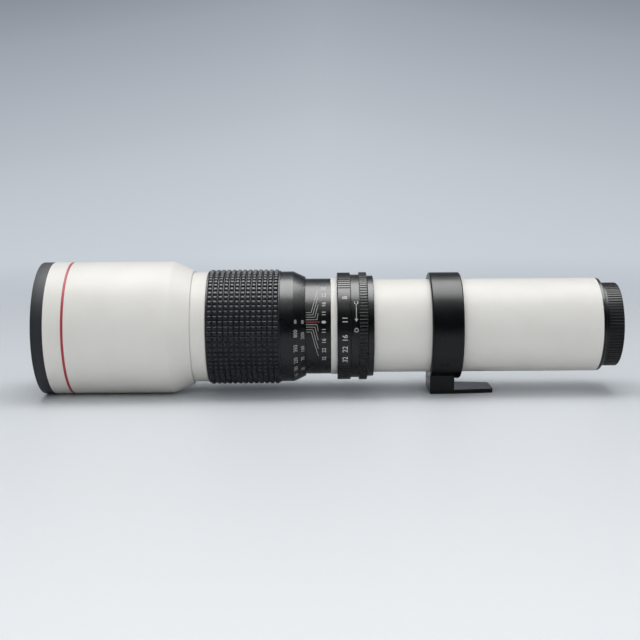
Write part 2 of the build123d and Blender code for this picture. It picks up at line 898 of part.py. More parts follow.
# Iris blades, thin crescents on their own levels, each fixed to a shaft with a lever behind the web
lever_radius, lever_angle = lever_position(0)
mid_radius = iris_open_radius + blade_width / 2
pivot_angles = [number * 360 / blade_count for number in range(blade_count)]
for number, pivot_angle in enumerate(pivot_angles, start=1):
    x_blade = x_blades + (number - 1) * blade_pitch
    x_blade_rear = x_blade + blade_thickness
    with BuildPart() as iris_blade:
        revolve(
            band(x_blade, x_blade_rear, iris_open_radius, blade_outer_radius, plane=half_plane(pivot_angle)),
            axis=Axis.X,
            revolution_arc=blade_span,
        )
        with BuildSketch(cross_plane(x_blade)):
            with PolarLocations(mid_radius, 1, start_angle=pivot_angle):
                Circle(blade_width / 2)
            with PolarLocations(pivot_radius, 1, start_angle=pivot_angle):
                Circle(pivot_lobe_radius)
            make_hull()
        extrude(amount=blade_thickness)
        with BuildSketch(cross_plane(x_blade)):
            with PolarLocations(mid_radius, 1, start_angle=pivot_angle + blade_span):
                Circle(blade_width / 2)
        extrude(amount=blade_thickness)
        with BuildSketch(cross_plane(x_blade)):
            with PolarLocations(pivot_radius, 1, start_angle=pivot_angle):
                Circle(pivot_pin_radius)
        extrude(amount=x_levers + lever_thickness - x_blade)
        with BuildSketch(cross_plane(x_levers)):
            with PolarLocations(pivot_radius, 1, start_angle=pivot_angle):
                Circle(pivot_lobe_radius)
            with PolarLocations(lever_radius, 1, start_angle=pivot_angle + lever_angle):
                Circle(lever_lobe_radius)
            make_hull()
        extrude(amount=lever_thickness)
        with BuildSketch(cross_plane(x_levers)):
            with PolarLocations(lever_radius, 1, start_angle=pivot_angle + lever_angle):
                Circle(lever_pin_radius)
        extrude(amount=x_cam_front + cam_slot_depth - lever_pin_gap - x_levers)
    save(iris_blade, f"iris_blade_{number}")

# Cam ring, whose slots swing the levers in step with the aperture ring
with BuildPart() as iris_cam_ring:
    revolve(band(x_cam_front, x_cam_rear, cam_bore_radius, iris_rim_radius - turn_gap), axis=Axis.X)
    for pivot_angle in pivot_angles:
        slot_line = ThreePointArc(
            slot_point(0, pivot_angle),
            slot_point(blade_swing / 2, pivot_angle),
            slot_point(blade_swing, pivot_angle),
        )
        with BuildSketch(cross_plane(x_cam_front)):
            SlotArc(slot_line, 2 * (lever_pin_radius + cam_clearance))
        extrude(amount=cam_slot_depth, mode=Mode.SUBTRACT)
    with BuildSketch(radial_plane(x_drive, drive_angle, drive_screw_tip - stack_gap)):
        Circle(drive_screw_radius + seat_gap)
    extrude(amount=drive_screw_grip + over_cut, mode=Mode.SUBTRACT)
save(iris_cam_ring, "iris_cam_ring")

with BuildPart() as iris_retaining_ring:
    revolve(
        band(x_cam_rear + stack_gap, x_iris_rear, iris_retainer_bore, iris_rim_radius - seat_gap),
        axis=Axis.X,
    )
save(iris_retaining_ring, "iris_retaining_ring")

# Rear tube, white, with a shallow groove that the collar's pad runs in
with BuildPart() as rear_tube:
    revolve(band(x_tube_front, x_flange_front, tube_bore, tube_radius), axis=Axis.X)
    revolve(
        band(
            x_collar - pad_radius - face_gap,
            x_collar + pad_radius + face_gap,
            tube_radius - pad_groove_depth,
            tube_radius + over_cut,
        ),
        axis=Axis.X,
        mode=Mode.SUBTRACT,
    )
save(rear_tube, "rear_tube")

# Stray light baffles in the rear tube
for number, opening in enumerate(tube_baffle_radii, start=1):
    x_baffle = x_tube_front + carrier_spigot_length + (number - 0.5) * tube_baffle_pitch
    with BuildPart() as tube_baffle:
        revolve(
            outline(
                (x_baffle, opening),
                (x_baffle, tube_bore - seat_gap),
                (x_baffle + baffle_skirt, tube_bore - seat_gap),
                (x_baffle + baffle_skirt, tube_bore - seat_gap - baffle_plate),
                (x_baffle + baffle_plate, tube_bore - seat_gap - baffle_plate),
                (x_baffle + baffle_plate, opening),
            ),
            axis=Axis.X,
        )
    save(tube_baffle, f"tube_baffle_{number}")

# Ring in the end of the tube, to which the flange and the rear cell are screwed
x_end_ring = x_flange_front - end_ring_length
rear_cell_screw_circle = (end_ring_bore + rear_cell_flange_radius) / 2
with BuildPart() as tube_end_ring:
    revolve(band(x_end_ring, x_flange_front, end_ring_bore, tube_bore - seat_gap), axis=Axis.X)
    with BuildSketch(cross_plane(x_flange_front)):
        with PolarLocations(flange_screw_circle, screw_count, start_angle=first_screw_angle):
            Circle(small_screw_radius + seat_gap)
    extrude(amount=-small_screw_grip - over_cut, mode=Mode.SUBTRACT)
    with BuildSketch(cross_plane(x_end_ring)):
        with PolarLocations(rear_cell_screw_circle, 3, start_angle=90):
            Circle(tiny_screw_radius + seat_gap)
    extrude(amount=tiny_screw_grip + over_cut, mode=Mode.SUBTRACT)
save(tube_end_ring, "tube_end_ring")

# Rear cell with the two rear lenses and their threaded rings
x_rear_cell_front = x_end_ring - rear_cell_front_reach
x_rear_cell_rear = x_end_ring + rear_cell_rear_reach
seat_depth = rear_glass_edge + lock_ring_width + lock_ring_sink
with BuildPart() as rear_cell:
    revolve(
        outline(
            (x_rear_cell_front, rear_glass_radius + slide_gap),
            (x_rear_cell_front, rear_cell_radius),
            (x_end_ring - rear_cell_flange_width, rear_cell_radius),
            (x_end_ring - rear_cell_flange_width, rear_cell_flange_radius),
            (x_end_ring, rear_cell_flange_radius),
            (x_end_ring, rear_cell_radius),
            (x_rear_cell_rear, rear_cell_radius),
            (x_rear_cell_rear, rear_glass_radius + slide_gap),
            (x_rear_cell_rear - seat_depth, rear_glass_radius + slide_gap),
            (x_rear_cell_rear - seat_depth, rear_cell_bore),
            (x_rear_cell_front + seat_depth, rear_cell_bore),
            (x_rear_cell_front + seat_depth, rear_glass_radius + slide_gap),
        ),
        axis=Axis.X,
    )
    with BuildSketch(cross_plane(x_end_ring)):
        with PolarLocations(rear_cell_screw_circle, 3, start_angle=90):
            Circle(tiny_screw_radius + seat_gap)
    extrude(amount=-rear_cell_flange_width, mode=Mode.SUBTRACT)
save(rear_cell, "rear_cell")

x_third = x_rear_cell_front + seat_depth - rear_glass_edge
with BuildPart() as third_lens:
    revolve(
        lens_section(
            x_third,
            rear_glass_edge,
            rear_cell_bore,
            rear_glass_radius,
            third_glass_front_sag,
            third_glass_rear_sag,
        ),
        axis=Axis.X,
    )
save(third_lens, "third_lens")

x_fourth = x_rear_cell_rear - seat_depth
with BuildPart() as fourth_lens:
    revolve(
        lens_section(
            x_fourth,
            rear_glass_edge,
            rear_cell_bore,
            rear_glass_radius,
            fourth_glass_front_sag,
            fourth_glass_rear_sag,
        ),
        axis=Axis.X,
    )
save(fourth_lens, "fourth_lens")

with BuildPart() as rear_lock_rings:
    for ring_front in (x_third - lock_ring_width, x_fourth + rear_glass_edge):
        revolve(
            band(ring_front, ring_front + lock_ring_width, lock_ring_bore, rear_glass_radius), axis=Axis.X
        )
save(rear_lock_rings, "rear_lock_rings")

cell_screw = slotted_screw(
    tiny_head_radius,
    tiny_head_height,
    tiny_screw_radius,
    tiny_head_height + rear_cell_flange_width + tiny_screw_grip,
)
with BuildPart() as rear_cell_screws:
    with Locations(cross_plane(x_end_ring - rear_cell_flange_width - tiny_head_height)):
        with PolarLocations(rear_cell_screw_circle, 3, start_angle=90):
            add(Rot(180, 0, 0) * cell_screw)
save(rear_cell_screws, "rear_cell_screws")

# Mount flange with the camera thread and the register that the rear cap slips over
head_sink = small_head_height + screw_head_sink
with BuildPart() as mount_flange:
    revolve(
        outline(
            (x_flange_front, mount_bore_radius),
            (x_flange_front, flange_radius),
            (x_flange_rear - edge_break, flange_radius),
            (x_flange_rear, flange_radius - edge_break),
            (x_flange_rear, register_radius),
            (0, register_radius),
            (0, thread_radius),
            (thread_length - thread_lead_in, thread_radius),
            (thread_length, thread_radius - thread_lead_in),
            (thread_length, mount_bore_radius),
        ),
        axis=Axis.X,
    )
    with BuildSketch(cross_plane(0)):
        with PolarLocations(flange_screw_circle, screw_count, start_angle=first_screw_angle):
            Circle(small_screw_radius + seat_gap)
    extrude(amount=x_flange_front, mode=Mode.SUBTRACT)
    with BuildSketch(cross_plane(0)):
        with PolarLocations(flange_screw_circle, screw_count, start_angle=first_screw_angle):
            Circle(small_head_radius + seat_gap)
    extrude(amount=-head_sink, mode=Mode.SUBTRACT)
save(mount_flange, "mount_flange")

flange_screw = slotted_screw(
    small_head_radius,
    small_head_height,
    small_screw_radius,
    register_height + flange_width - screw_head_sink + small_screw_grip,
)
with BuildPart() as flange_screws:
    with Locations(cross_plane(-screw_head_sink)):
        with PolarLocations(flange_screw_circle, screw_count, start_angle=first_screw_angle):
            add(flange_screw)
save(flange_screws, "flange_screws")

# Tripod collar, a ring that turns on the tube, with a boss for its lock screw
liner_inner = tube_radius + turn_gap
collar_bore = liner_inner + liner_thickness + seat_gap
pad_face = tube_radius - pad_groove_depth + slide_gap
chamber_top = pad_face + pad_thickness + lock_travel + face_gap
boss_top = collar_radius + lock_boss_height
pad_plane = Plane(origin=(x_collar, 0, 0), x_dir=(1, 0, 0), z_dir=(0, 1, 0))
foot_screw_reach = foot_screw_offset - foot_screw_head_radius
foot_screw_top = -((collar_bore**2 - foot_screw_reach**2) ** 0.5) - seat_gap
x_stem_front = x_collar_front - foot_overhang
x_stem = x_stem_front + stem_length / 2
with BuildPart() as collar_ring:
    revolve(band(x_collar_front, x_collar_rear, collar_bore, collar_radius, collar_edge), axis=Axis.X)
    with BuildSketch(pad_plane.offset(collar_bore + over_cut)):
        Circle(lock_boss_radius)
    extrude(amount=boss_top - collar_bore - over_cut)
    with BuildSketch(pad_plane.offset(pad_face - over_cut)):
        Circle(pad_radius + turn_gap)
    extrude(amount=chamber_top - pad_face + over_cut, mode=Mode.SUBTRACT)
    with BuildSketch(pad_plane.offset(collar_bore)):
        Circle(lock_thread_radius + turn_gap)
    extrude(amount=boss_top - collar_bore, mode=Mode.SUBTRACT)
    with BuildSketch(Plane.XY.offset(foot_screw_top)):
        with Locations((x_stem, foot_screw_offset), (x_stem, -foot_screw_offset)):
            Circle(foot_screw_head_radius + seat_gap)
    extrude(amount=collar_radius - collar_bore, mode=Mode.SUBTRACT)
    with BuildSketch(Plane.XY.offset(foot_screw_top)):
        with Locations((x_stem, foot_screw_offset), (x_stem, -foot_screw_offset)):
            Circle(foot_screw_head_radius + seat_gap)
    extrude(amount=-foot_screw_head_height, mode=Mode.SUBTRACT)
    with BuildSketch(Plane.XY.offset(foot_screw_top)):
        with Locations((x_stem, foot_screw_offset), (x_stem, -foot_screw_offset)):
            Circle(foot_screw_radius + seat_gap)
    extrude(amount=-collar_radius, mode=Mode.SUBTRACT)
save(collar_ring, "collar_ring")

with BuildPart() as collar_liner:
    revolve(
        band(
            x_collar_front + liner_border, x_collar_rear - liner_border, liner_inner, collar_bore - seat_gap
        ),
        axis=Axis.X,
    )
    with BuildSketch(pad_plane):
        Circle(pad_radius + 2 * turn_gap)
    extrude(amount=collar_radius, mode=Mode.SUBTRACT)
save(collar_liner, "collar_liner")

# Tripod foot, a stem under the ring and a plate that runs towards the camera
with BuildPart() as tripod_foot:
    with BuildSketch(Plane.XY.offset(-foot_drop + foot_thickness)):
        with Locations((x_stem, 0)):
            Rectangle(stem_length, stem_width)
    extrude(amount=foot_drop - foot_thickness - collar_bore)
    with BuildSketch(Plane.XY.offset(-foot_drop)) as sole:
        with BuildLine():
            Polyline(
                (x_stem_front, stem_width / 2),
                (x_stem_front + stem_length, stem_width / 2),
                (x_stem_front + foot_length, foot_end_width / 2),
                (x_stem_front + foot_length, -foot_end_width / 2),
                (x_stem_front + stem_length, -stem_width / 2),
                (x_stem_front, -stem_width / 2),
                close=True,
            )
        make_face()
        fillet(sole.vertices().group_by(Axis.X)[-1], foot_corner)
    extrude(amount=foot_thickness)
    chamfer(tripod_foot.faces().sort_by(Axis.Z)[0].edges(), foot_edge)
    with BuildSketch(cross_plane(x_stem_front)):
        Circle(collar_radius + seat_gap)
    extrude(amount=stem_length, mode=Mode.SUBTRACT)
    with BuildSketch(Plane.XY.offset(-foot_drop)):
        with Locations((x_stem, 0)):
            Circle(bush_radius + seat_gap)
    extrude(amount=bush_height, mode=Mode.SUBTRACT)
    with BuildSketch(Plane.XY.offset(foot_screw_top)):
        with Locations((x_stem, foot_screw_offset), (x_stem, -foot_screw_offset)):
            Circle(foot_screw_radius + seat_gap)
    extrude(amount=-foot_screw_length - foot_screw_head_height, mode=Mode.SUBTRACT)
save(tripod_foot, "tripod_foot")

with BuildPart() as foot_screws:
    with Locations(
        (x_stem, foot_screw_offset, foot_screw_top),
        (x_stem, -foot_screw_offset, foot_screw_top),
    ):
        add(
            slotted_screw(
                foot_screw_head_radius,
                foot_screw_head_height,
                foot_screw_radius,
                foot_screw_length + foot_screw_head_height,
            )
        )
save(foot_screws, "foot_screws")

with BuildPart() as tripod_bush:
    with BuildSketch(Plane.XY.offset(-foot_drop)):
        with Locations((x_stem, 0)):
            Circle(bush_radius)
            Circle(tripod_thread_radius, mode=Mode.SUBTRACT)
    extrude(amount=bush_height)
save(tripod_bush, "tripod_bush")

# Lock screw of the collar, with a knurled knob outside and a soft pad inside
with BuildPart() as lock_pad:
    with BuildSketch(pad_plane.offset(pad_face)):
        Circle(pad_radius)
    extrude(amount=pad_thickness)
save(lock_pad, "lock_pad")

knob_base = boss_top + face_gap
with BuildPart() as lock_screw:
    with BuildSketch(pad_plane.offset(pad_face + pad_thickness)):
        Circle(lock_thread_radius)
    extrude(amount=knob_base + knob_height / 2 - pad_face - pad_thickness)
save(lock_screw, "lock_screw")

with BuildPart() as lock_knob:
    with BuildSketch(pad_plane.offset(knob_base)):
        Circle(knob_stem_radius)
    extrude(amount=knob_stem_height)
    with BuildSketch(pad_plane.offset(knob_base + knob_stem_height)):
        Circle(knob_radius)
        with PolarLocations(knob_radius + knob_groove_rise, knob_groove_count):
            Circle(knob_groove_radius, mode=Mode.SUBTRACT)
    extrude(amount=knob_height - knob_stem_height)
    with BuildSketch(pad_plane.offset(knob_base)):
        Circle(lock_thread_radius + seat_gap)
    extrude(amount=knob_height / 2, mode=Mode.SUBTRACT)
save(lock_knob, "lock_knob")

# Rear cap, pushed over the register of the flange
x_cap_front = x_flange_rear + slide_gap
x_cap_rear = x_flange_rear + cap_length
with BuildPart() as rear_cap:
    with BuildSketch(Plane.XZ):
        with BuildLine():
            Polyline(
                (x_cap_rear - cap_edge, cap_radius),
                (x_cap_front, cap_radius),
                (x_cap_front, register_radius + turn_gap),
                (x_cap_rear - cap_wall_end, register_radius + turn_gap),
                (x_cap_rear - cap_wall_end, 0),
                (x_cap_rear - cap_dish_depth, 0),
                (x_cap_rear - cap_dish_depth, cap_dish_radius),
                (x_cap_rear, cap_dish_radius + cap_dish_depth),
                (x_cap_rear, cap_radius - cap_edge),
            )
            RadiusArc((x_cap_rear, cap_radius - cap_edge), (x_cap_rear - cap_edge, cap_radius), -cap_edge)
        make_face()
    revolve(axis=Axis.X)
    with BuildSketch(cross_plane(x_cap_front + cap_band)):
        with PolarLocations(cap_radius + cap_flute_rise, cap_flute_count):
            Circle(cap_flute_rise + cap_flute_depth)
    extrude(amount=cap_length, mode=Mode.SUBTRACT)
save(rear_cap, "rear_cap")
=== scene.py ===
import logging
import math
from dataclasses import dataclass
from enum import Enum
from typing import Any, Callable, Sequence

import bpy
from bpy.types import Material, Node, NodeTree, Object
from mathutils import Matrix, Vector


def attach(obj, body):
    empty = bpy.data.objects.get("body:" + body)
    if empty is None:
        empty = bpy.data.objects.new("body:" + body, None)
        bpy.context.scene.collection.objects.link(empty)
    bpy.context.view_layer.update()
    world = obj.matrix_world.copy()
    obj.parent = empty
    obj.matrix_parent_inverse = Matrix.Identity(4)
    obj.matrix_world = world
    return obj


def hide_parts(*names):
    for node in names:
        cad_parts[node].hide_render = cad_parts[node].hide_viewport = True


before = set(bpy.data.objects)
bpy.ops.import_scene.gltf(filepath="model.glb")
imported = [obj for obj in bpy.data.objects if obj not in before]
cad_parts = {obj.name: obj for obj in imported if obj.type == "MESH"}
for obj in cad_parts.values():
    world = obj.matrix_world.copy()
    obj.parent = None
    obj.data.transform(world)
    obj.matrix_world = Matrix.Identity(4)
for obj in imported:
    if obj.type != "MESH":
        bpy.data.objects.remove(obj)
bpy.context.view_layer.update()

log = logging.getLogger("lens")

Corner = tuple[float, float]
Colour = tuple[float, float, float, float]
Surface = Callable[[float], float]
Blank = tuple[str, float, float, Corner]  # a lens's node, x of its borders, bulges of its faces
Cut = tuple[float, float, float, float, float]  # start, end, root, crest and pitch of a thread
Tones = tuple[tuple[float, str], ...]  # places along a gradient and their colours

MM = 0.001  # metres in a millimetre, which is the unit of the lens's sizes
FOOT = 0.3048  # metres in a foot
MERGE = 2e-6  # metres within which vertices become one
SMOOTH = 30.0  # degrees below which an edge is shaded smooth
ROUND = 192  # faces round a turned piece
BREAK_STEPS = 2  # segments of a broken edge
BREAK_ANGLE = 25.0  # degrees above which an edge is broken
LENS_ROUND = 128  # faces round a lens
LENS_STEPS = 18  # rings of faces from a lens's pole to its border
POLE = 0.0005  # radius of the hole at a lens's pole, so small that merging closes it
PRINT = 0.05  # half the thickness of a printed mark
STROKE_STEP = 0.7  # length of a printed line's faces, short enough to bend round a ring
FIGURE_SHARE = 0.72  # height of a figure as a share of the type's size
FIGURE_WEIGHT = 0.02  # what the figures are bolder by, as a share of their height
FIGURE_STEPS = 3  # divisions of the figures' curves

# Sockets that a node names twice, by their numbers
FROM_LOW, FROM_HIGH, TO_LOW, TO_HIGH = 1, 2, 3, 4
MIX_A, MIX_B, MIX_RESULT = 6, 7, 2

# Levels of a noise between which a colour or a gloss passes into the other, and its detail
COLOUR_LOW, COLOUR_HIGH = 0.35, 0.7
GLOSS_LOW, GLOSS_HIGH = 0.3, 0.7
PATCH_DETAIL, FINE_DETAIL, WEAR_DETAIL, WEAR_ROUGHNESS = 3.0, 2.0, 5.0, 0.75
WEAR_TOP, WEAR_SPAN, WEAR_COVER = 1.02, 0.7, 0.8
CUTTER_WAVES = 6.0  # noise waves in a metre across the cutter's lines, so few that the lines run on


class Body(Enum):
    """Units of the lens that the new pieces ride on, by the names that the frame gives them."""

    REAR = "rear_body"
    FRONT = "front_barrel"
    FOCUS = "focus_ring"
    PRESET = "preset_ring"
    APERTURE = "aperture_ring"


class Lay(Enum):
    """How the flat x and y of a mark run once it lies on a ring."""

    ALONG = "x to the camera, y up round the ring"
    UPWARDS = "x up round the ring, y to the front"


def linear(code: str) -> Colour:
    """Turns an sRGB hex colour into the linear colour that the shaders take.

    Args:
        code: colour such as "#f4f4f2".

    Returns:
        Linear red, green, blue and a full alpha.
    """
    steps = [int(code[start : start + 2], 16) / 255 for start in (1, 3, 5)]
    values = [step / 12.92 if step <= 0.04045 else ((step + 0.055) / 1.055) ** 2.4 for step in steps]
    return (values[0], values[1], values[2], 1.0)


def add_node(
    tree: NodeTree,
    kind: str,
    settings: dict[Any, Any] | None = None,
    links: dict[Any, Any] | None = None,
) -> Node:
    """Adds one shader node.

    Args:
        tree: node tree that gets the node.
        kind: Blender's name of the node type.
        settings: values of the node's own options and of its sockets; "stops" fills a colour ramp.
        links: source sockets by the input that each one feeds.

    Returns:
        The new node.
    """
    node = tree.nodes.new(kind)
    for key, value in (settings or {}).items():
        if key == "stops":
            ramp = node.color_ramp
            while len(ramp.elements) < len(value):
                ramp.elements.new(1.0)
            ramp.interpolation = "B_SPLINE" if len(value) > 2 else "LINEAR"
            for element, (place, code) in zip(ramp.elements, value):
                element.position = place
                element.color = linear(code)
        elif isinstance(key, str) and hasattr(node, key):
            setattr(node, key, value)
        else:
            node.inputs[key].default_value = value
    for key, source in (links or {}).items():
        tree.links.new(source, node.inputs[key])
    return node


def deselect() -> None:
    """Leaves edit mode and deselects everything."""
    if bpy.context.object and bpy.context.object.mode != "OBJECT":
        bpy.ops.object.mode_set(mode="OBJECT")
    bpy.ops.object.select_all(action="DESELECT")


def pick(piece: Object) -> None:
    """Makes one piece the only selected and active one."""
    deselect()
    piece.select_set(True)
    bpy.context.view_layer.objects.active = piece


def edit_all() -> None:
    """Enters edit mode with the whole mesh selected."""
    bpy.ops.object.mode_set(mode="EDIT")
    bpy.ops.mesh.select_all(action="SELECT")


def settle(piece: Object, name: str) -> Object:
    """Names a piece and moves its place, turn and size into its mesh.

    Args:
        piece: the piece.
        name: its name.

    Returns:
        The same piece.
    """
    piece.name = name
    piece.data.name = name
    pick(piece)
    bpy.ops.object.transform_apply(location=True, rotation=True, scale=True)
    return piece


def tidy_mesh(piece: Object, smooth: float = SMOOTH) -> None:
    """Merges doubles, turns the faces outwards and smooths the shading.

    Args:
        piece: the piece.
        smooth: angle in degrees below which an edge is shaded smooth.
    """
    pick(piece)
    edit_all()
    bpy.ops.mesh.remove_doubles(threshold=MERGE)
    bpy.ops.mesh.delete_loose(use_verts=True, use_edges=True, use_faces=False)
    bpy.ops.mesh.select_all(action="SELECT")
    bpy.ops.mesh.normals_make_consistent(inside=False)
    bpy.ops.object.mode_set(mode="OBJECT")
    if piece.data.has_custom_normals:
        bpy.ops.mesh.customdata_custom_splitnormals_clear()
    bpy.ops.object.shade_smooth_by_angle(angle=math.radians(smooth))


def turned(name: str, corners: Sequence[Corner], edge: float = 0.0, around: int = ROUND) -> Object:
    """Turns a closed section round the lens's axis, as on a lathe.

    Args:
        name: name of the piece.
        corners: section as (x, radius), in order round it.
        edge: size of the broken edges, or 0 for none.
        around: number of faces round the ring.

    Returns:
        The ring, closed and smooth.
    """
    deselect()
    x, radius = corners[0]
    bpy.ops.mesh.primitive_circle_add(
        vertices=around, radius=radius * MM, location=(x * MM, 0, 0), rotation=(0, math.pi / 2, 0)
    )
    piece = settle(bpy.context.active_object, name)
    edit_all()
    for next_x, next_radius in (*corners[1:], corners[0]):
        bpy.ops.mesh.extrude_region()
        grow = next_radius / radius
        bpy.ops.transform.resize(value=(1, grow, grow), center_override=(x * MM, 0, 0))
        bpy.ops.transform.translate(value=((next_x - x) * MM, 0, 0))
        x, radius = next_x, next_radius
    tidy_mesh(piece)
    if edge:
        pick(piece)
        bevel = piece.modifiers.new("Broken edge", "BEVEL")
        bevel.width = edge * MM
        bevel.segments = BREAK_STEPS
        bevel.limit_method = "ANGLE"
        bevel.angle_limit = math.radians(BREAK_ANGLE)
        bpy.ops.object.modifier_apply(modifier=bevel.name)
        tidy_mesh(piece)
    return piece


def wall(front: float, rear: float, bore: float, radius: float) -> list[Corner]:
    """Gives the section of a plain ring between two x, from its bore out to its radius."""
    return [(front, bore), (front, radius), (rear, radius), (rear, bore)]


def ground(blank: Blank, clear: float, rim: float) -> Object:
    """Grinds a lens with two round faces and a flat border.

    Args:
        blank: its CAD node, the x of its borders, and how far its faces stand out or sink in.
        clear: radius of the round faces.
        rim: outer radius.

    Returns:
        The closed lens.
    """
    node, front, back, bulges = blank
    faces = []
    for border, bulge, outwards in ((front, bulges[0], -1), (back, bulges[1], 1)):
        ball = (clear**2 + bulge**2) / (2 * bulge)
        line = []
        for step in range(LENS_STEPS + 1):
            radius = max(POLE, clear * step / LENS_STEPS)
            drop = abs(ball) - math.sqrt(ball**2 - radius**2)
            line.append((border + outwards * (bulge - math.copysign(drop, bulge)), radius))
        faces.append(line)
    corners = [*faces[0], (front, rim), (back, rim), *reversed(faces[1])]
    return turned(f"{node}_ground", corners, around=LENS_ROUND)


def thread(cut: Cut) -> list[Corner]:
    """Gives the saw-tooth line of a screw thread.

    Args:
        cut: x where it starts and that it may not pass, radius between and on its teeth, and its pitch.

    Returns:
        Corners from start to end, in order.
    """
    start, end, root, crest, pitch = cut
    count = int(abs(end - start) / pitch)
    step = math.copysign(pitch, end - start)
    line: list[Corner] = []
    for number in range(count):
        line.append((start + number * step, root))
        line.append((start + (number + 0.5) * step, crest))
    line.append((start + count * step, root))
    return line


def cylinder(radius: float) -> Surface:
    """Gives the surface of a cylinder, which has one radius at every x."""
    return lambda x: radius


def lay_on(piece: Object, surface: Surface, x: float, angle: float, lay: Lay) -> Object:
    """Wraps a flat mark round the lens.

    Args:
        piece: flat mesh round the origin, with its height along z.
        surface: radius of the surface at an x.
        x: place of the mark along the axis.
        angle: place round the ring in degrees, up from the side of the scales.
        lay: how the mark's own x and y run.

    Returns:
        The same piece.
    """
    middle = surface(x) * MM
    for vertex in piece.data.vertices:
        flat_x, flat_y, height = vertex.co
        along, arc = (-flat_y, flat_x) if lay is Lay.UPWARDS else (flat_x, flat_y)
        along += x * MM
        radius = surface(along / MM) * MM + height
        turn = math.radians(angle) + arc / middle
        vertex.co = (along, -radius * math.cos(turn), radius * math.sin(turn))
    return piece


def joined(name: str, pieces: Sequence[Object]) -> Object:
    """Joins pieces into one mesh.

    Args:
        name: name of the joined piece.
        pieces: two pieces or more, of which the first one stays.

    Returns:
        The joined piece.
    """
    pick(pieces[0])
    for piece in pieces[1:]:
        piece.select_set(True)
    bpy.ops.object.join()
    return settle(bpy.context.active_object, name)


def numeral(text: str, height: float) -> Object:
    """Makes one printed number as a thin flat mesh round the origin.

    Args:
        text: the number.
        height: height of its figures.

    Returns:
        The mesh, with the print's thickness along z.
    """
    deselect()
    bpy.ops.object.text_add(location=(0, 0, 0))
    curve = bpy.context.active_object.data
    curve.body = text
    curve.size = height * MM / FIGURE_SHARE
    curve.offset = FIGURE_WEIGHT * height * MM
    curve.resolution_u = FIGURE_STEPS
    curve.extrude = PRINT * MM
    bpy.ops.object.convert(target="MESH")
    piece = bpy.context.active_object
    shift = Vector((0, 0, 0))
    for axis in (0, 1):
        places = [vertex.co[axis] for vertex in piece.data.vertices]
        shift[axis] = -(min(places) + max(places)) / 2
    piece.data.transform(Matrix.Translation(shift))
    return piece


def stroke(start: Corner, end: Corner, width: float, end_width: float | None = None) -> Object:
    """Makes one printed line as a thin flat mesh.

    Args:
        start: first end of the line.
        end: other end of the line.
        width: width of the line at its start.
        end_width: width at its end, or the same if it is left out.

    Returns:
        The mesh, with the print's thickness along z.
    """
    run = Vector(end) - Vector(start)
    steps = max(2, round(run.length / STROKE_STEP))
    deselect()
    bpy.ops.mesh.primitive_grid_add(x_subdivisions=steps, y_subdivisions=1, size=MM)
    piece = bpy.context.active_object
    edit_all()
    bpy.ops.transform.translate(value=(0, 0, -PRINT * MM))
    bpy.ops.mesh.extrude_region_move(TRANSFORM_OT_translate={"value": (0, 0, 2 * PRINT * MM)})
    bpy.ops.object.mode_set(mode="OBJECT")
    last = width if end_width is None else end_width
    across = Vector((-run.y, run.x)).normalized()
    for vertex in piece.data.vertices:
        share = vertex.co.x / MM + 0.5
        side = vertex.co.y / MM * (width + (last - width) * share)
        spot = Vector(start) + run * share + across * side
        vertex.co = (spot.x * MM, spot.y * MM, vertex.co.z)
    tidy_mesh(piece)
    return piece


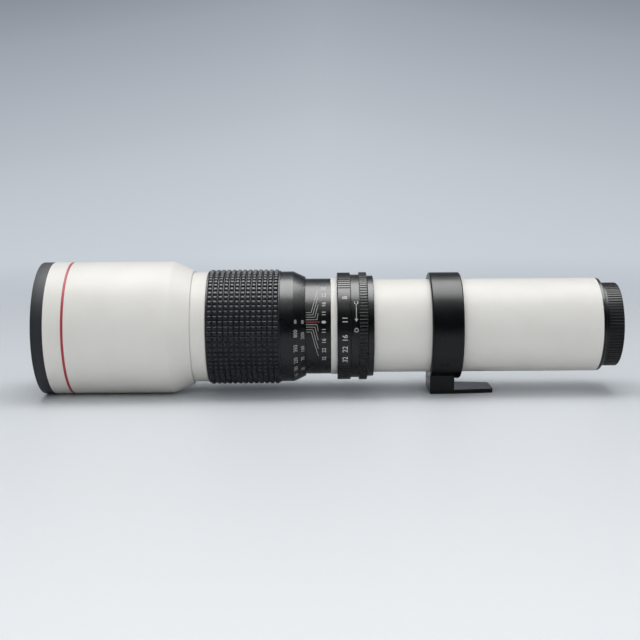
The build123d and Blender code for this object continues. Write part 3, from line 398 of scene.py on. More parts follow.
@dataclass(frozen=True)
class Finish:
    """One real finish: its colours, its gloss and the marks of how its surface was made.

    The sizes of its patches, grain, turning lines and wear are in millimetres, its film in nanometres.
    """

    name: str
    colour: str
    second: str
    roughness: float
    spread: float = 0.05
    patch: float = 1.0
    grain: float = 0.2
    grain_height: float = 0.01
    metallic: float = 0.0
    ior: float = 1.5
    turning: float = 0.0
    turning_height: float = 0.0
    wear: str = ""
    wear_share: float = 0.0
    wear_size: float = 1.0
    transmission: float = 0.0
    film: float = 0.0

    def material(self) -> Material:
        """Builds the material once and gives it again after that.

        Returns:
            The node material of this finish.
        """
        known = bpy.data.materials.get(self.name)
        if known:
            return known
        material = bpy.data.materials.new(self.name)
        material.use_nodes = True
        tree = material.node_tree
        tree.nodes.clear()
        place = {"Vector": add_node(tree, "ShaderNodeTexCoord").outputs["Object"]}
        noise = {"Scale": 1 / (self.patch * MM), "Detail": PATCH_DETAIL}
        patches = add_node(tree, "ShaderNodeTexNoise", noise, place).outputs["Fac"]
        stops = ((COLOUR_LOW, self.colour), (COLOUR_HIGH, self.second))
        colour = add_node(tree, "ShaderNodeValToRGB", {"stops": stops}, {0: patches}).outputs["Color"]
        if self.wear:
            noise = {"Scale": 1 / (self.wear_size * MM), "Detail": WEAR_DETAIL}
            noise["Roughness"] = WEAR_ROUGHNESS
            scuffs = add_node(tree, "ShaderNodeTexNoise", noise, place).outputs["Fac"]
            low, high = 1 - self.wear_share, WEAR_TOP - WEAR_SPAN * self.wear_share
            levels = {FROM_LOW: low, FROM_HIGH: high, TO_HIGH: WEAR_COVER}
            worn = add_node(tree, "ShaderNodeMapRange", levels, {0: scuffs}).outputs[0]
            cover = {"data_type": "RGBA", MIX_B: linear(self.wear)}
            mix = add_node(tree, "ShaderNodeMix", cover, {0: worn, MIX_A: colour})
            colour = mix.outputs[MIX_RESULT]
        low, high = max(0.0, self.roughness - self.spread), self.roughness + self.spread
        levels = {FROM_LOW: GLOSS_LOW, FROM_HIGH: GLOSS_HIGH, TO_LOW: low, TO_HIGH: high}
        gloss = add_node(tree, "ShaderNodeMapRange", levels, {0: patches}).outputs[0]
        noise = {"Scale": 1 / (self.grain * MM), "Detail": FINE_DETAIL}
        grain = add_node(tree, "ShaderNodeTexNoise", noise, place).outputs["Fac"]
        depth = {"Distance": self.grain_height * MM, "Strength": 1.0}
        normal = add_node(tree, "ShaderNodeBump", depth, {"Height": grain}).outputs["Normal"]
        if self.turning:
            scale = (1 / (self.turning * MM), CUTTER_WAVES, CUTTER_WAVES)
            stretched = add_node(tree, "ShaderNodeMapping", {"Scale": scale}, place).outputs["Vector"]
            noise = {"Scale": 1.0, "Detail": FINE_DETAIL}
            lines = add_node(tree, "ShaderNodeTexNoise", noise, {"Vector": stretched}).outputs["Fac"]
            depth = {"Distance": self.turning_height * MM, "Strength": 1.0}
            links = {"Height": lines, "Normal": normal}
            normal = add_node(tree, "ShaderNodeBump", depth, links).outputs["Normal"]
        settings = {
            "Metallic": self.metallic,
            "Transmission Weight": self.transmission,
            "Thin Film Thickness": self.film,
        }
        if not self.metallic:
            settings["IOR"] = self.ior
        links = {"Base Color": colour, "Roughness": gloss, "Normal": normal}
        surface = add_node(tree, "ShaderNodeBsdfPrincipled", settings, links)
        add_node(tree, "ShaderNodeOutputMaterial", links={"Surface": surface.outputs[0]})
        return material

    def dress(self, piece: Object) -> None:
        """Gives the finish to a whole piece or CAD node.

        Args:
            piece: the piece or node.
        """
        if piece.material_slots:
            for slot in piece.material_slots:
                slot.material = self.material()
        else:
            piece.data.materials.append(self.material())

    def dress_nodes(self, *names: str) -> None:
        """Gives the finish to CAD nodes that keep their shape.

        Args:
            *names: names of the nodes.
        """
        for name in names:
            self.dress(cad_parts[name])
            log.info("%s: %s", name, self.name)


# White enamel, sprayed and baked: a warm white with a faint orange peel and a soft sheen.
WHITE_ENAMEL = Finish(
    "white_enamel_sprayed", "#e2dfd9", "#dedbd4", roughness=0.5, spread=0.04, patch=30.0, grain=1.1,
    grain_height=0.012, ior=1.28, wear="#d6d3cd", wear_share=0.24, wear_size=8.0,
)
# Aluminium, turned and black anodised: satin black that draws one long soft highlight.
BLACK_ANODISED = Finish(
    "aluminium_black_anodised_turned", "#0a0b0d", "#0f1012", roughness=0.28, spread=0.03, patch=9.0,
    grain=0.35, grain_height=0.001, ior=1.44, turning=0.45, turning_height=0.003,
    wear="#1f2023", wear_share=0.24, wear_size=3.0,
)
# Black enamel, sprayed over turned metal: an even dark grey black with a broad dull sheen.
BLACK_ENAMEL = Finish(
    "enamel_black_sprayed", "#222428", "#26282c", roughness=0.6, spread=0.03, patch=14.0, grain=0.8,
    grain_height=0.004, ior=1.45, wear="#2b2c2f", wear_share=0.26, wear_size=2.5,
)
# Flat black paint inside the tubes: swallows stray light, and shows only a dusty grey bloom.
FLAT_BLACK = Finish(
    "paint_black_flat_sprayed", "#101012", "#161618", roughness=0.85, patch=8.0, grain=0.4,
    grain_height=0.006, turning=0.7, turning_height=0.006,
)
# Rubber, moulded: dark grey with a fine skin grain and dull dusty patches between the studs.
GRIP_RUBBER = Finish(
    "rubber_moulded", "#1c1d21", "#232429", roughness=0.38, spread=0.04, patch=7.0, grain=0.4,
    grain_height=0.008, ior=1.42, wear="#2b2c30", wear_share=0.28, wear_size=1.4,
)
# Optical glass, ground and coated: clear, with a film that tints its reflections green and violet.
COATED_GLASS = Finish(
    "glass_polished_coated", "#ffffff", "#fbfdff", roughness=0.01, spread=0.004, patch=40.0, grain=4.0,
    grain_height=0.0, ior=1.52, transmission=1.0, film=420.0,
)
# Spring steel, blackened and polished by its own movement: streaks of bare steel show.
BLADE_STEEL = Finish(
    "spring_steel_blackened", "#2a2b2e", "#3a3b3e", roughness=0.42, spread=0.08, patch=4.0, grain=0.3,
    grain_height=0.003, metallic=1.0, wear="#77787b", wear_share=0.34, wear_size=2.0,
)
# Steel screws, turned and nickel plated: bright heads with a little tarnish.
SCREW_STEEL = Finish(
    "steel_screws_nickel_plated", "#b9b8b4", "#a09f9b", roughness=0.28, spread=0.06, patch=1.5,
    grain_height=0.002, metallic=1.0, wear="#6d6a64", wear_share=0.32, wear_size=0.8,
)
# Brass, turned: yellow metal with rings from the cutter and dull brown spots.
BRASS = Finish(
    "brass_turned", "#c9a35a", "#b08c48", roughness=0.3, spread=0.07, patch=3.0, grain=0.3,
    grain_height=0.003, metallic=1.0, turning=0.4, turning_height=0.006,
    wear="#7c6334", wear_share=0.32, wear_size=1.0,
)
# Wool felt, pressed: soft black fibres with no highlight.
FELT = Finish(
    "wool_felt_pressed", "#151517", "#1f1f22", roughness=0.95, spread=0.03, patch=1.5, grain=0.25,
    grain_height=0.06,
)
# Nylon, cut from rod: milky off-white with a waxy sheen.
NYLON = Finish(
    "nylon_cut_from_rod", "#d9d6cb", "#cfcbbe", roughness=0.45, patch=2.0, grain=0.3, grain_height=0.004
)
# ABS, injection moulded with a spark-eroded texture: black, finely pebbled and slightly shiny.
CAP_ABS = Finish(
    "abs_moulded_black", "#0f1012", "#151618", roughness=0.32, spread=0.04, patch=6.0, grain=0.45,
    grain_height=0.005, ior=1.37, wear="#333437", wear_share=0.28, wear_size=1.2,
)
# Powder coat on the foot and the collar: black with a fine crinkle that spreads the light.
POWDER_COAT = Finish(
    "aluminium_black_powder_coated", "#08090b", "#0d0e10", roughness=0.3, spread=0.03, patch=12.0,
    grain=0.55, grain_height=0.008, ior=1.35, wear="#2e2f32", wear_share=0.26, wear_size=2.2,
)
# Marking paint, filled into engraved figures and baked: flat and a little uneven.
MARK_WHITE = Finish("marking_paint_white", "#bfbeb8", "#a6a59f", roughness=0.6)
MARK_GREY = Finish("marking_paint_grey", "#a3a29e", "#8f8e8b", roughness=0.6)
MARK_RED = Finish("marking_paint_red", "#8f3a3f", "#7e3338", roughness=0.55)
FIELD_RED = Finish("marking_paint_dark_red", "#2f070a", "#280609", roughness=0.5, patch=2.0)
# Red enamel, sprayed into a groove: a muted red that is a little duller than the white round it.
LINE_RED = Finish(
    "enamel_red_line_sprayed", "#ac3c43", "#a2373f", roughness=0.45, patch=5.0, grain=0.9,
    grain_height=0.008, ior=1.35, wear="#83303a", wear_share=0.3, wear_size=2.0,
)


def place_piece(
    piece: Object, body: Body, finish: Finish, replaced: Sequence[str] = ()
) -> None:
    """Dresses a finished piece and hands it to the frame.

    Args:
        piece: the finished piece.
        body: unit that it moves with.
        finish: its finish.
        replaced: CAD nodes that it stands for.
    """
    finish.dress(piece)
    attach(piece, body.value)
    if replaced:
        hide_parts(*replaced)
    log.info("%s: %d faces on %s", piece.name, len(piece.data.polygons), body.value)


def set_lenses(body: Body, clear: float, rim: float, blanks: Sequence[Blank]) -> None:
    """Grinds and coats the lenses of one group.

    Args:
        body: unit that holds them.
        clear: radius of their round faces.
        rim: their outer radius.
        blanks: their nodes, borders and bulges.
    """
    for blank in blanks:
        place_piece(ground(blank, clear, rim), body, COATED_GLASS, (blank[0],))


@dataclass
class FrontUnit:
    """White front barrel with its black rim, red line, cone and neck, and the front glass."""

    front: float = -440.0
    front_edge: float = 0.9
    front_corner: float = 0.26
    rim_rear: float = -430.6
    rim_step: float = 0.25
    radius: float = 52.0
    bore: float = 50.2
    spigot_bore: float = 45.0
    spigot_length: float = 6.0
    spigot_play: float = 0.02
    filter_start: float = -439.2
    filter_end: float = -433.2
    filter_radius: float = 47.5
    filter_mouth: float = 0.8
    filter_thread: Cut = (-439.0, -433.4, 47.9, 47.45, 0.75)
    line_front: float = -417.05
    line_rear: float = -415.05
    line_groove: float = 0.15
    line_root: float = 0.05
    line_play: float = 0.03
    cone_front: float = -336.6
    cone_corner: tuple[Corner, ...] = ((-1.4, 0.0), (-0.45, 0.06), (0.45, 0.36), (1.3, 0.7))
    cone_end: float = 44.8
    cone_wall: float = 45.9
    neck_front: float = -321.2
    neck_bore: float = 41.5
    neck_depth: float = 6.0
    glass_radius: float = 44.45
    glass_clear: float = 41.8
    lenses: tuple[Blank, ...] = (
        ("front_lens", -421.6, -417.5, (4.2, 3.5)),
        ("second_lens", -416.5, -410.6, (-3.6, 1.5)),
    )

    def build(self) -> None:
        """Builds and dresses every piece of the unit."""
        self.rim()
        self.barrel()
        self.red_line()
        WHITE_ENAMEL.dress_nodes("barrel_neck")
        FLAT_BLACK.dress_nodes("front_ring", "objective_cell", "front_baffle_1", "front_baffle_2")
        FLAT_BLACK.dress_nodes("lens_spacer", "slide_tube", "focus_ring_capture")
        SCREW_STEEL.dress_nodes("slide_tube_screws", "capture_screws")
        set_lenses(Body.FRONT, self.glass_clear, self.glass_radius, self.lenses)

    def rim(self) -> None:
        """Turns the front rim, with the filter thread cut inside it."""
        spigot_end = self.rim_rear + self.spigot_length
        spigot = self.bore - self.spigot_play
        corners = [
            (self.front, self.radius - self.front_edge),
            (self.front, self.filter_radius + self.filter_mouth),
            (self.filter_start, self.filter_radius),
            *thread(self.filter_thread),
            (self.filter_end, self.filter_radius),
            (self.filter_end, self.spigot_bore),
            (spigot_end, self.spigot_bore),
            (spigot_end, spigot),
            (self.rim_rear + self.rim_step, spigot),
            (self.rim_rear + self.rim_step, self.radius - self.rim_step),
            (self.rim_rear, self.radius),
            (self.front + self.front_edge, self.radius),
            (self.front + self.front_corner, self.radius - self.front_corner),
        ]
        rim = turned("front_rim_turned", corners)
        place_piece(rim, Body.FRONT, BLACK_ENAMEL, ("front_rim",))

    def barrel(self) -> None:
        """Turns the white barrel and its cone, with a groove that holds the red line."""
        groove = self.radius - self.line_groove
        neck_end = self.neck_front - self.neck_depth
        corners = [
            (self.rim_rear, self.bore),
            (self.rim_rear, self.radius),
            (self.line_front, self.radius),
            (self.line_front, groove),
            (self.line_rear, groove),
            (self.line_rear, self.radius),
            *((self.cone_front + along, self.radius - down) for along, down in self.cone_corner),
            (self.neck_front, self.cone_end),
            (self.neck_front, self.neck_bore),
            (neck_end, self.neck_bore),
            (neck_end, self.cone_wall),
            (self.cone_front, self.bore),
        ]
        barrel = turned("front_barrel_turned", corners, edge=0.12)
        place_piece(barrel, Body.FRONT, WHITE_ENAMEL, ("front_barrel",))

    def red_line(self) -> None:
        """Lays the red line into its groove."""
        root = self.radius - self.line_groove - self.line_root
        front, rear = self.line_front + self.line_play, self.line_rear - self.line_play
        section = wall(front, rear, root, self.radius - self.line_play)
        place_piece(turned("red_line", section), Body.FRONT, LINE_RED)


@dataclass
class FocusUnit:
    """Focus ring with its studded rubber grip and the distance scale on its bevel."""

    grip_front: float = -309.15
    grip_rear: float = -252.7
    seat_radius: float = 42.6
    skin_radius: float = 43.9
    lip_height: float = 0.25
    lip_width: float = 0.85
    stud_rows: int = 13
    studs_round: int = 68
    stud_pitch: float = 4.2
    stud_steps: tuple[Corner, ...] = ((0.14, 0.0), (0.42, 0.7), (0.6, 0.45), (0.35, 0.1))
    stud_sink: float = 0.02
    stud_smooth: float = 40.0
    band_radius: float = 43.5
    bevel_start: float = -242.6
    bevel_rear: float = -233.2
    bevel_radius: float = 39.1
    front_bore: float = 40.66
    rear_bore: float = 37.76
    capture_front: float = -300.75
    capture_rear: float = -297.8
    capture_bore: float = 41.75
    index: float = 11.8
    metre_turn: float = 3000.0
    feet: tuple[int, ...] = (800, 350, 230, 180, 145, 100, 70, 50, 40)
    feet_x: float = -240.7
    feet_height: float = 2.9
    metres: tuple[int, ...] = (200, 100, 70, 50, 30, 20, 15, 12)
    metres_x: float = -235.3
    metres_height: float = 2.6

    def build(self) -> None:
        """Builds and dresses every piece of the unit."""
        self.ring()
        self.grip()
        self.scale()

    def bevel(self, x: float) -> float:
        """Gives the radius of the bevel at x."""
        share = (x - self.bevel_start) / (self.bevel_rear - self.bevel_start)
        return self.band_radius + (self.bevel_radius - self.band_radius) * share

    def ring(self) -> None:
        """Turns the focus ring."""
        corners = [
            (self.grip_front, self.front_bore),
            (self.grip_front, self.seat_radius),
            (self.grip_rear, self.seat_radius),
            (self.grip_rear, self.band_radius),
            (self.bevel_start, self.band_radius),
            (self.bevel_rear, self.bevel_radius),
            (self.bevel_rear, self.rear_bore),
            (self.capture_rear, self.rear_bore),
            (self.capture_rear, self.capture_bore),
            (self.capture_front, self.capture_bore),
            (self.capture_front, self.front_bore),
        ]
        ring = turned("focus_ring_turned", corners, edge=0.2)
        place_piece(ring, Body.FOCUS, BLACK_ANODISED, ("focus_ring",))

    def grip(self) -> None:
        """Moulds the rubber sleeve and its rows of pointed studs."""
        lip = self.skin_radius + self.lip_height
        front, rear = self.grip_front + self.lip_width, self.grip_rear - self.lip_width
        corners = [
            (self.grip_front, self.seat_radius),
            (self.grip_front, lip),
            (front, lip),
            (front, self.skin_radius),
            (rear, self.skin_radius),
            (rear, lip),
            (self.grip_rear, lip),
            (self.grip_rear, self.seat_radius),
        ]
        sleeve = turned("grip_skin", corners, edge=0.15)
        deselect()
        bpy.ops.mesh.primitive_grid_add(
            x_subdivisions=self.stud_rows, y_subdivisions=self.studs_round, size=MM
        )
        studs = bpy.context.active_object
        length = self.stud_rows * self.stud_pitch
        girth = 2 * math.pi * self.skin_radius
        edit_all()
        bpy.ops.transform.resize(value=(length, girth, 1))
        for inwards, upwards in self.stud_steps:
            bpy.ops.mesh.inset(thickness=inwards * MM, depth=upwards * MM, use_individual=True)
        bpy.ops.object.mode_set(mode="OBJECT")
        middle = (self.grip_front + self.grip_rear) / 2
        half_stud = 180.0 / self.studs_round
        lay_on(studs, cylinder(self.skin_radius + self.stud_sink), middle, half_stud, Lay.ALONG)
        tidy_mesh(studs, self.stud_smooth)
        grip = joined("grip_sleeve_moulded", [sleeve, studs])
        place_piece(grip, Body.FOCUS, GRIP_RUBBER, ("grip_sleeve",))

    def scale(self) -> None:
        """Prints the distance scale in feet and in metres, with the sign for endless on its side."""
        marks = []
        for numbers, unit, x, height in (
            (self.feet, FOOT, self.feet_x, self.feet_height),
            (self.metres, 1.0, self.metres_x, self.metres_height),
        ):
            for number in numbers:
                place = self.index - self.metre_turn / (number * unit)
                marks.append(lay_on(numeral(str(number), height), self.bevel, x, place, Lay.UPWARDS))
        for x in (self.feet_x, self.metres_x):
            marks.append(lay_on(numeral("8", self.feet_height), self.bevel, x, self.index, Lay.ALONG))
        place_piece(joined("distance_scale", marks), Body.FOCUS, MARK_GREY)


@dataclass
class DepthScale:
    """Fixed sleeve with the index and the depth of field lines, and the white band behind it."""

    radius: float = 37.7
    index: float = 11.8
    front: float = -233.1
    line_start: float = -232.6
    line_end: float = -223.3
    line_weight: float = 0.42
    line_bends: tuple[tuple[float, Corner], ...] = (
        (-224.2, (2.9, 10.5)), (-225.8, (5.8, 21.3)), (-227.3, (8.6, 32.0)), (-228.6, (11.4, 42.3)),
    )
    numeral_x: float = -219.0
    numeral_height: float = 3.0
    stops: tuple[tuple[str, float], ...] = (("11", 10.2), ("16", 21.8), ("22", 34.0), ("32", 46.0))
    index_gap: float = 0.3
    field_angle: float = 2.6
    field_rear: float = -3.2
    field_rear_width: float = 1.2
    index_rear: float = -3.0
    index_weight: float = 0.5
    index_height: float = 0.03
    dot_height: float = 3.4
    dot_half: float = 0.9
    dot_fill: float = 2.4
    band_front: float = -213.5
    band_rear: float = -208.6
    band_radius: float = 38.1
    band_bore: float = 35.52

    def build(self) -> None:
        """Builds and dresses every piece of the scale."""
        BLACK_ANODISED.dress_nodes("focus_sleeve")
        NYLON.dress_nodes("focus_key")
        section = wall(self.band_front, self.band_rear, self.band_bore, self.band_radius)
        band = turned("white_band_turned", section, edge=0.3)
        place_piece(band, Body.REAR, WHITE_ENAMEL, ("white_band",))
        self.lines()
        self.numerals()
        self.index_mark()

    def arc(self, angle: float) -> float:
        """Gives the length round the sleeve of an angle in degrees."""
        return math.radians(angle) * self.radius

    def print_on(self, mark: Object, angle: float, lay: Lay) -> Object:
        """Lays a flat mark on the sleeve, at an angle in degrees up from the index."""
        return lay_on(mark, cylinder(self.radius), self.numeral_x, self.index + angle, lay)

    def lines(self) -> None:
        """Prints the bent lines, four on each side of the index."""
        start, end = self.line_start - self.numeral_x, self.line_end - self.numeral_x
        pieces = []
        for side in (1, -1):
            for bend, angles in self.line_bends:
                near, far = (self.arc(side * angle) for angle in angles)
                corner = (bend - self.numeral_x, near)
                pieces.append(stroke((start, near), corner, self.line_weight))
                pieces.append(stroke(corner, (end, far), self.line_weight))
        lines = joined("depth_lines", [self.print_on(piece, 0.0, Lay.ALONG) for piece in pieces])
        place_piece(lines, Body.REAR, MARK_GREY)

    def numerals(self) -> None:
        """Prints the stops beside the lines."""
        pieces = []
        for side in (1, -1):
            for text, angle in self.stops:
                mark = numeral(text, self.numeral_height)
                pieces.append(self.print_on(mark, side * angle, Lay.UPWARDS))
        place_piece(joined("depth_numerals", pieces), Body.REAR, MARK_WHITE)

    def index_mark(self) -> None:
        """Prints the red index line on its dark red field, and the pale dot behind it."""
        start = (self.front - self.numeral_x + self.index_gap, 0.0)
        width = 2 * self.arc(self.field_angle)
        field = stroke(start, (self.field_rear, 0.0), width, self.field_rear_width)
        line = stroke(start, (self.index_rear, 0.0), self.index_weight)
        for vertex in line.data.vertices:
            vertex.co.z += self.index_height * MM
        for mark, name, paint in ((field, "index_field", FIELD_RED), (line, "index_line", MARK_RED)):
            self.print_on(mark, 0.0, Lay.ALONG)
            place_piece(settle(mark, name), Body.REAR, paint)
        fill = stroke((-self.dot_half, 0.0), (self.dot_half, 0.0), self.dot_fill)
        dot = [numeral("0", self.dot_height), fill]
        for piece in dot:
            self.print_on(piece, 0.0, Lay.UPWARDS)
        place_piece(joined("index_dot", dot), Body.REAR, MARK_WHITE)


@dataclass
class StopRings:
    """Preset ring with its stops, aperture ring with its arrow, and the ring behind them."""

    preset_radius: float = 42.3
    preset_x: float = -202.9
    stop_height: float = 4.0
    stops: tuple[tuple[str, float], ...] = (
        ("8", 37.8), ("11", 13.3), ("16", -5.1), ("22", -17.8), ("32", -30.2),
    )
    arrow_radius: float = 40.7
    arrow_x: float = -194.2
    shaft: Corner = (21.3, 9.4)
    shaft_weight: float = 0.5
    head: Corner = (10.4, 8.2)
    head_width: float = 2.6
    head_tip: float = 0.2
    sign_height: float = 3.2
    signs: tuple[tuple[str, float], ...] = (("C", 23.2), ("O", 1.8))
    retainer_front: float = -185.2
    retainer_rear: float = -180.4
    retainer_bore: float = 37.02
    retainer_radius: float = 39.8

    def build(self) -> None:
        """Builds and dresses every piece of the rings."""
        BLACK_ANODISED.dress_nodes("preset_ring", "aperture_ring", "ring_carrier")
        SCREW_STEEL.dress_nodes("drive_screw")
        section = wall(self.retainer_front, self.retainer_rear, self.retainer_bore, self.retainer_radius)
        retainer = turned("ring_retainer_turned", section, edge=0.35)
        place_piece(retainer, Body.REAR, BLACK_ANODISED, ("ring_retainer",))
        self.preset_stops()
        self.arrow()

    def preset_stops(self) -> None:
        """Prints the stops on the preset ring's smooth panel."""
        panel = cylinder(self.preset_radius)
        pieces = [
            lay_on(numeral(text, self.stop_height), panel, self.preset_x, angle, Lay.UPWARDS)
            for text, angle in self.stops
        ]
        place_piece(joined("preset_stops", pieces), Body.PRESET, MARK_WHITE)

    def arrow(self) -> None:
        """Prints the arrow between C, closed, and O, open."""
        pieces = [
            stroke((0.0, self.shaft[0]), (0.0, self.shaft[1]), self.shaft_weight),
            stroke((0.0, self.head[0]), (0.0, self.head[1]), self.head_width, self.head_tip),
        ]
        for text, arc in self.signs:
            sign = numeral(text, self.sign_height)
            for vertex in sign.data.vertices:
                vertex.co = (-vertex.co.y, vertex.co.x + arc * MM, vertex.co.z)
            pieces.append(sign)
        for piece in pieces:
            lay_on(piece, cylinder(self.arrow_radius), self.arrow_x, 0.0, Lay.ALONG)
        place_piece(joined("aperture_arrow", pieces), Body.APERTURE, MARK_WHITE)


@dataclass
class RearBody:
    """White rear tube, the rear glass and the camera flange."""

    tube_front: float = -180.4
    tube_rear: float = -5.1
    tube_radius: float = 36.7
    tube_bore: float = 35.0
    groove_front: float = -127.25
    groove_rear: float = -120.95
    groove_depth: float = 0.3
    flange_cut: float = 0.4
    mount_front: float = 0.3
    mount_rear: float = 4.6
    mount_bore: float = 18.8
    mount_radius: float = 20.4
    mount_thread: Cut = (0.5, 4.3, 20.5, 21.0, 0.75)
    glass_radius: float = 23.0
    glass_clear: float = 21.4
    lenses: tuple[Blank, ...] = (
        ("third_lens", -41.5, -38.3, (2.4, -1.6)),
        ("fourth_lens", -13.3, -10.1, (-1.2, 2.2)),
    )

    def build(self) -> None:
        """Builds and dresses every piece of the body."""
        set_lenses(Body.REAR, self.glass_clear, self.glass_radius, self.lenses)
        groove = self.tube_radius - self.groove_depth
        corners = [
            (self.tube_front, self.tube_bore),
            (self.tube_front, self.tube_radius),
            (self.groove_front, self.tube_radius),
            (self.groove_front, groove),
            (self.groove_rear, groove),
            (self.groove_rear, self.tube_radius),
            (self.tube_rear, self.tube_radius),
            (self.tube_rear, self.tube_bore),
        ]
        tube = turned("rear_tube_turned", corners, edge=0.2)
        place_piece(tube, Body.REAR, WHITE_ENAMEL, ("rear_tube",))
        self.flange()

    def flange(self) -> None:
        """Cuts the plain register off a copy of the flange and puts a threaded one in its place."""
        deselect()
        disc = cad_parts["mount_flange"].copy()
        disc.data = disc.data.copy()
        disc.parent = None
        disc.matrix_world = Matrix.Identity(4)
        bpy.context.collection.objects.link(disc)
        disc.data.materials.clear()
        tidy_mesh(disc)
        edit_all()
        bpy.ops.mesh.bisect(
            plane_co=(self.flange_cut * MM, 0, 0), plane_no=(1, 0, 0), clear_outer=True, use_fill=True
        )
        bpy.ops.object.mode_set(mode="OBJECT")
        corners = [
            (self.mount_front, self.mount_bore),
            (self.mount_front, self.mount_radius),
            *thread(self.mount_thread),
            (self.mount_rear, self.mount_radius),
            (self.mount_rear, self.mount_bore),
        ]
        flange = joined("mount_flange_turned", [disc, turned("camera_thread", corners)])
        place_piece(flange, Body.REAR, BLACK_ANODISED, ("mount_flange",))


@dataclass
class CarriedParts:
    """CAD nodes of the collar, the cap, the iris and the rear that keep their shape."""

    blades: int = 8
    baffles: int = 3

    def build(self) -> None:
        """Gives every carried node its real finish."""
        POWDER_COAT.dress_nodes("collar_ring", "tripod_foot")
        CAP_ABS.dress_nodes("rear_cap", "lock_knob")
        FELT.dress_nodes("collar_liner")
        NYLON.dress_nodes("lock_pad")
        BRASS.dress_nodes("tripod_bush")
        SCREW_STEEL.dress_nodes("foot_screws", "lock_screw", "flange_screws", "rear_cell_screws")
        SCREW_STEEL.dress_nodes("click_ball", "click_spring")
        BLADE_STEEL.dress_nodes(*(f"iris_blade_{number}" for number in range(1, self.blades + 1)))
        FLAT_BLACK.dress_nodes(*(f"tube_baffle_{number}" for number in range(1, self.baffles + 1)))
        FLAT_BLACK.dress_nodes("iris_housing", "iris_guard_ring", "iris_cam_ring", "iris_retaining_ring")
        FLAT_BLACK.dress_nodes("tube_end_ring", "rear_cell", "rear_lock_rings")


@dataclass(frozen=True)
class Lamp:
    """One soft rectangular lamp that hangs over the lens and faces it. The camera does not see it."""

    name: str
    y: float
    z: float
    size: Corner
    power: float
    in_gloss: bool = True
    in_diffuse: bool = True

    def hang(self, x: float) -> None:
        """Hangs the lamp.

        Args:
            x: its place along the lens, in metres.
        """
        deselect()
        bpy.ops.object.light_add(type="AREA", location=(x, self.y, self.z))
        lamp = bpy.context.active_object
        lamp.name = self.name
        lamp.data.shape = "RECTANGLE"
        lamp.data.size, lamp.data.size_y = self.size
        lamp.data.energy = self.power
        lamp.rotation_euler = (-math.atan2(self.y, self.z), 0, 0)
        lamp.visible_camera = False
        lamp.visible_glossy = self.in_gloss
        lamp.visible_diffuse = self.in_diffuse


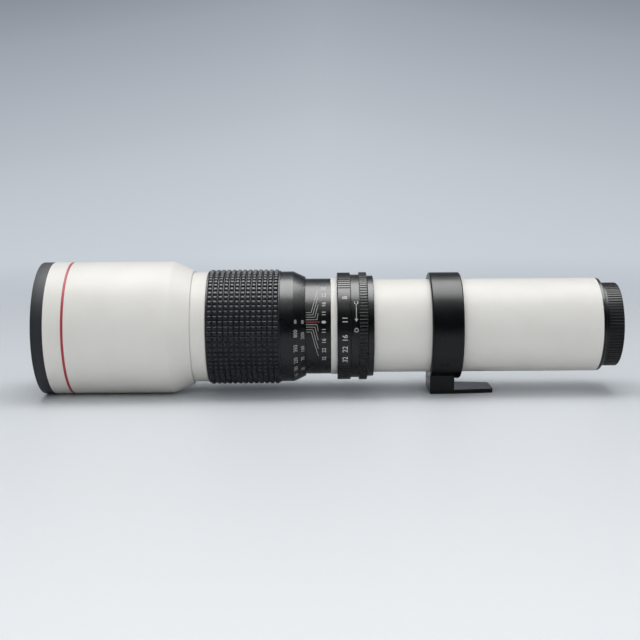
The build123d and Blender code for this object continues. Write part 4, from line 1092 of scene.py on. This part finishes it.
@dataclass
class Studio:
    """Pale floor that bends up into a wall all round, with painted light on both, two soft lamps and a
    card, and the camera.

    Its sizes are in metres, but for the camera's focal length and sensor, which are in millimetres.
    """

    floor: float = -0.052
    floor_radius: float = 1.8
    bend: float = 1.4
    bend_steps: int = 10
    wall_height: float = 1.6
    bowl_faces: int = 96
    wall_top: float = 2.0
    # Painted shade: the wall's painted light grows darker towards its sides.
    side_shade: float = 0.2
    # Painted light on the wall: it glows pale low down and darker upwards.
    wall_tones: Tones = (
        (0.0, "#cfd6de"), (0.03, "#c9d0d8"), (0.1, "#c4cbd3"), (0.2, "#b9c0c8"),
        (0.375, "#9da2ad"), (0.48, "#858c95"), (0.65, "#6a6f78"), (1.0, "#4a4e55"),
    )
    # Painted light on the floor: paler towards the camera, darker under the lens.
    floor_tones: Tones = ((0.0, "#f1f2f3"), (0.45, "#e2e4e6"), (1.0, "#d6dade"))
    floor_fade: Corner = (-0.6, 0.0)
    wall_fade: Corner = (0.3, 1.7)
    # Painted dark reflection: where the floor in front of the lens turns black in gloss.
    flag_fade: Corner = (-0.6, -0.2)
    air: str = "#e8eaec"
    air_strength: float = 0.92
    lamps: tuple[Lamp, ...] = (
        Lamp("soft_key", 0.03, 1.1, (1.15, 0.56), 4.9),
        Lamp("soft_fill", -1.1, 0.5, (1.6, 0.5), 2.7, in_gloss=False),
        Lamp("reflector_card", 0.06, 1.05, (1.2, 1.0), 30.0, in_diffuse=False),
    )
    aim: tuple[float, float, float] = (-0.222, 0.0, 0.0048)
    distance: float = 0.92
    elevation: float = 7.0
    yaw: float = 0.17
    roll: float = -0.43
    focal_length: float = 65.19
    sensor: float = 36.0

    def build(self) -> None:
        """Builds the floor, the light and the camera."""
        self.backdrop()
        for lamp in self.lamps:
            lamp.hang(self.aim[0])
        self.sky()
        self.camera()

    def backdrop(self) -> None:
        """Makes the floor and wall as one bowl."""
        deselect()
        spot = (self.aim[0], 0, self.floor)
        bpy.ops.mesh.primitive_circle_add(
            vertices=self.bowl_faces, radius=self.floor_radius, fill_type="NGON", location=spot
        )
        bowl = bpy.context.active_object
        edit_all()
        bpy.ops.mesh.select_mode(type="EDGE")
        bpy.ops.mesh.region_to_loop()
        radius = self.floor_radius
        step_angle = 90.0 / self.bend_steps
        for step in range(1, self.bend_steps + 1):
            turn = math.radians(step_angle * step)
            grown = self.floor_radius + self.bend * math.sin(turn)
            rise = self.bend * (math.cos(turn - math.radians(step_angle)) - math.cos(turn))
            bpy.ops.mesh.extrude_region_move(TRANSFORM_OT_translate={"value": (0, 0, rise)})
            grow = grown / radius
            bpy.ops.transform.resize(value=(grow, grow, 1), center_override=(self.aim[0], 0, 0))
            radius = grown
        bpy.ops.mesh.extrude_region_move(TRANSFORM_OT_translate={"value": (0, 0, self.wall_height)})
        bpy.ops.object.mode_set(mode="OBJECT")
        settle(bowl, "backdrop")
        bpy.ops.object.shade_smooth_by_angle(angle=math.radians(SMOOTH))
        bowl.data.materials.append(self.paper())

    def paper(self) -> Material:
        """Makes the backdrop's paper: lit by the lamps and painted paler towards the camera on the
        floor, and glowing with painted light on the wall.

        Its wall shows its painted light to the camera, in glass and in gloss. The floor in front of the
        lens is painted black in gloss: a painted dark reflection in place of a black card beside the
        camera.

        Returns:
            The material.
        """
        material = bpy.data.materials.new("studio_paper_seamless")
        material.use_nodes = True
        tree = material.node_tree
        tree.nodes.clear()
        place = add_node(tree, "ShaderNodeTexCoord").outputs["Object"]
        split = add_node(tree, "ShaderNodeSeparateXYZ", links={0: place}).outputs
        # Painted light and shade on the wall: a glow that darkens upwards and to the sides.
        off = add_node(tree, "ShaderNodeMath", {"operation": "ADD", 1: -self.aim[0]}, {0: split["X"]})
        aside = add_node(tree, "ShaderNodeMath", {"operation": "ABSOLUTE"}, {0: off.outputs[0]})
        raised = {"operation": "MULTIPLY_ADD", 1: self.side_shade}
        level = add_node(tree, "ShaderNodeMath", raised, {0: aside.outputs[0], 2: split["Z"]})
        span = {FROM_LOW: self.floor, FROM_HIGH: self.wall_top}
        height = add_node(tree, "ShaderNodeMapRange", span, {0: level.outputs[0]})
        tones = {"stops": self.wall_tones}
        shade = add_node(tree, "ShaderNodeValToRGB", tones, {"Fac": height.outputs[0]})
        links = {"Color": shade.outputs["Color"]}
        wall_light = add_node(tree, "ShaderNodeEmission", {"Strength": 1.0}, links)
        # Painted light on the floor: its colour grows paler towards the camera.
        span = {FROM_LOW: self.floor_fade[0], FROM_HIGH: self.floor_fade[1]}
        depth = add_node(tree, "ShaderNodeMapRange", span, {0: split["Y"]})
        tones = {"stops": self.floor_tones}
        painted_floor_tone = add_node(tree, "ShaderNodeValToRGB", tones, {"Fac": depth.outputs[0]})
        satin = {"Roughness": 0.5, "Specular IOR Level": 0.3}
        links = {"Base Color": painted_floor_tone.outputs["Color"]}
        floor_paper = add_node(tree, "ShaderNodeBsdfPrincipled", satin, links)
        apart = {"operation": "DISTANCE", 1: (self.aim[0], 0.0, self.floor)}
        middle = add_node(tree, "ShaderNodeVectorMath", apart, {0: place})
        near, away = self.wall_fade
        soft = {"interpolation_type": "SMOOTHSTEP", FROM_LOW: near, FROM_HIGH: away}
        far = add_node(tree, "ShaderNodeMapRange", soft, {0: middle.outputs["Value"]})
        ray = add_node(tree, "ShaderNodeLightPath")
        clear = ray.outputs["Is Camera Ray"]
        for kind in ("Is Glossy Ray", "Is Transmission Ray"):
            links = {0: clear, 1: ray.outputs[kind]}
            clear = add_node(tree, "ShaderNodeMath", {"operation": "MAXIMUM"}, links).outputs[0]
        times = {"operation": "MULTIPLY"}
        share = add_node(tree, "ShaderNodeMath", times, {0: clear, 1: far.outputs[0]})
        links = {0: share.outputs[0], 1: floor_paper.outputs[0], 2: wall_light.outputs[0]}
        paper = add_node(tree, "ShaderNodeMixShader", links=links)
        # Painted dark reflection: the floor in front of the lens shows black in gloss.
        span = {FROM_LOW: self.flag_fade[0], FROM_HIGH: self.flag_fade[1], TO_LOW: 1.0, TO_HIGH: 0.0}
        front = add_node(tree, "ShaderNodeMapRange", span, {0: split["Y"]})
        links = {0: front.outputs[0], 1: ray.outputs["Is Glossy Ray"]}
        dark = add_node(tree, "ShaderNodeMath", times, links)
        painted_dark_reflection = add_node(tree, "ShaderNodeEmission", {"Strength": 0.0})
        links = {0: dark.outputs[0], 1: paper.outputs[0], 2: painted_dark_reflection.outputs[0]}
        with_painted_dark_reflection = add_node(tree, "ShaderNodeMixShader", links=links)
        add_node(tree, "ShaderNodeOutputMaterial", links={"Surface": with_painted_dark_reflection.outputs[0]})
        return material

    def sky(self) -> None:
        """Fills the air all round with a low even light."""
        world = bpy.data.worlds.new("studio_air")
        bpy.context.scene.world = world
        world.use_nodes = True
        tree = world.node_tree
        tree.nodes.clear()
        settings = {"Color": linear(self.air), "Strength": self.air_strength}
        air = add_node(tree, "ShaderNodeBackground", settings)
        add_node(tree, "ShaderNodeOutputWorld", links={"Surface": air.outputs[0]})

    def camera(self) -> None:
        """Sets the camera at the photograph's angle."""
        data = bpy.data.cameras.new("camera")
        data.lens = self.focal_length
        data.sensor_width = self.sensor
        camera = bpy.data.objects.new("camera", data)
        bpy.context.scene.collection.objects.link(camera)
        tilt, turn = math.radians(self.elevation), math.radians(self.yaw)
        level = math.cos(tilt)
        back = Vector((math.sin(turn) * level, -math.cos(turn) * level, math.sin(tilt)))
        camera.location = Vector(self.aim) + back * self.distance
        facing = (-back).to_track_quat("-Z", "Y").to_matrix()
        camera.rotation_euler = (facing @ Matrix.Rotation(math.radians(self.roll), 3, "Z")).to_euler()
        bpy.context.scene.camera = camera


def main() -> None:
    """Builds the lens unit by unit, then the studio."""
    logging.basicConfig(level=logging.INFO, format="%(message)s")
    bpy.context.scene.view_settings.view_transform = "Standard"
    for unit in (
        FrontUnit(), FocusUnit(), DepthScale(), StopRings(), RearBody(), CarriedParts(), Studio(),
    ):
        unit.build()
        log.info("built %s", type(unit).__name__)


if __name__ == "__main__":
    main()
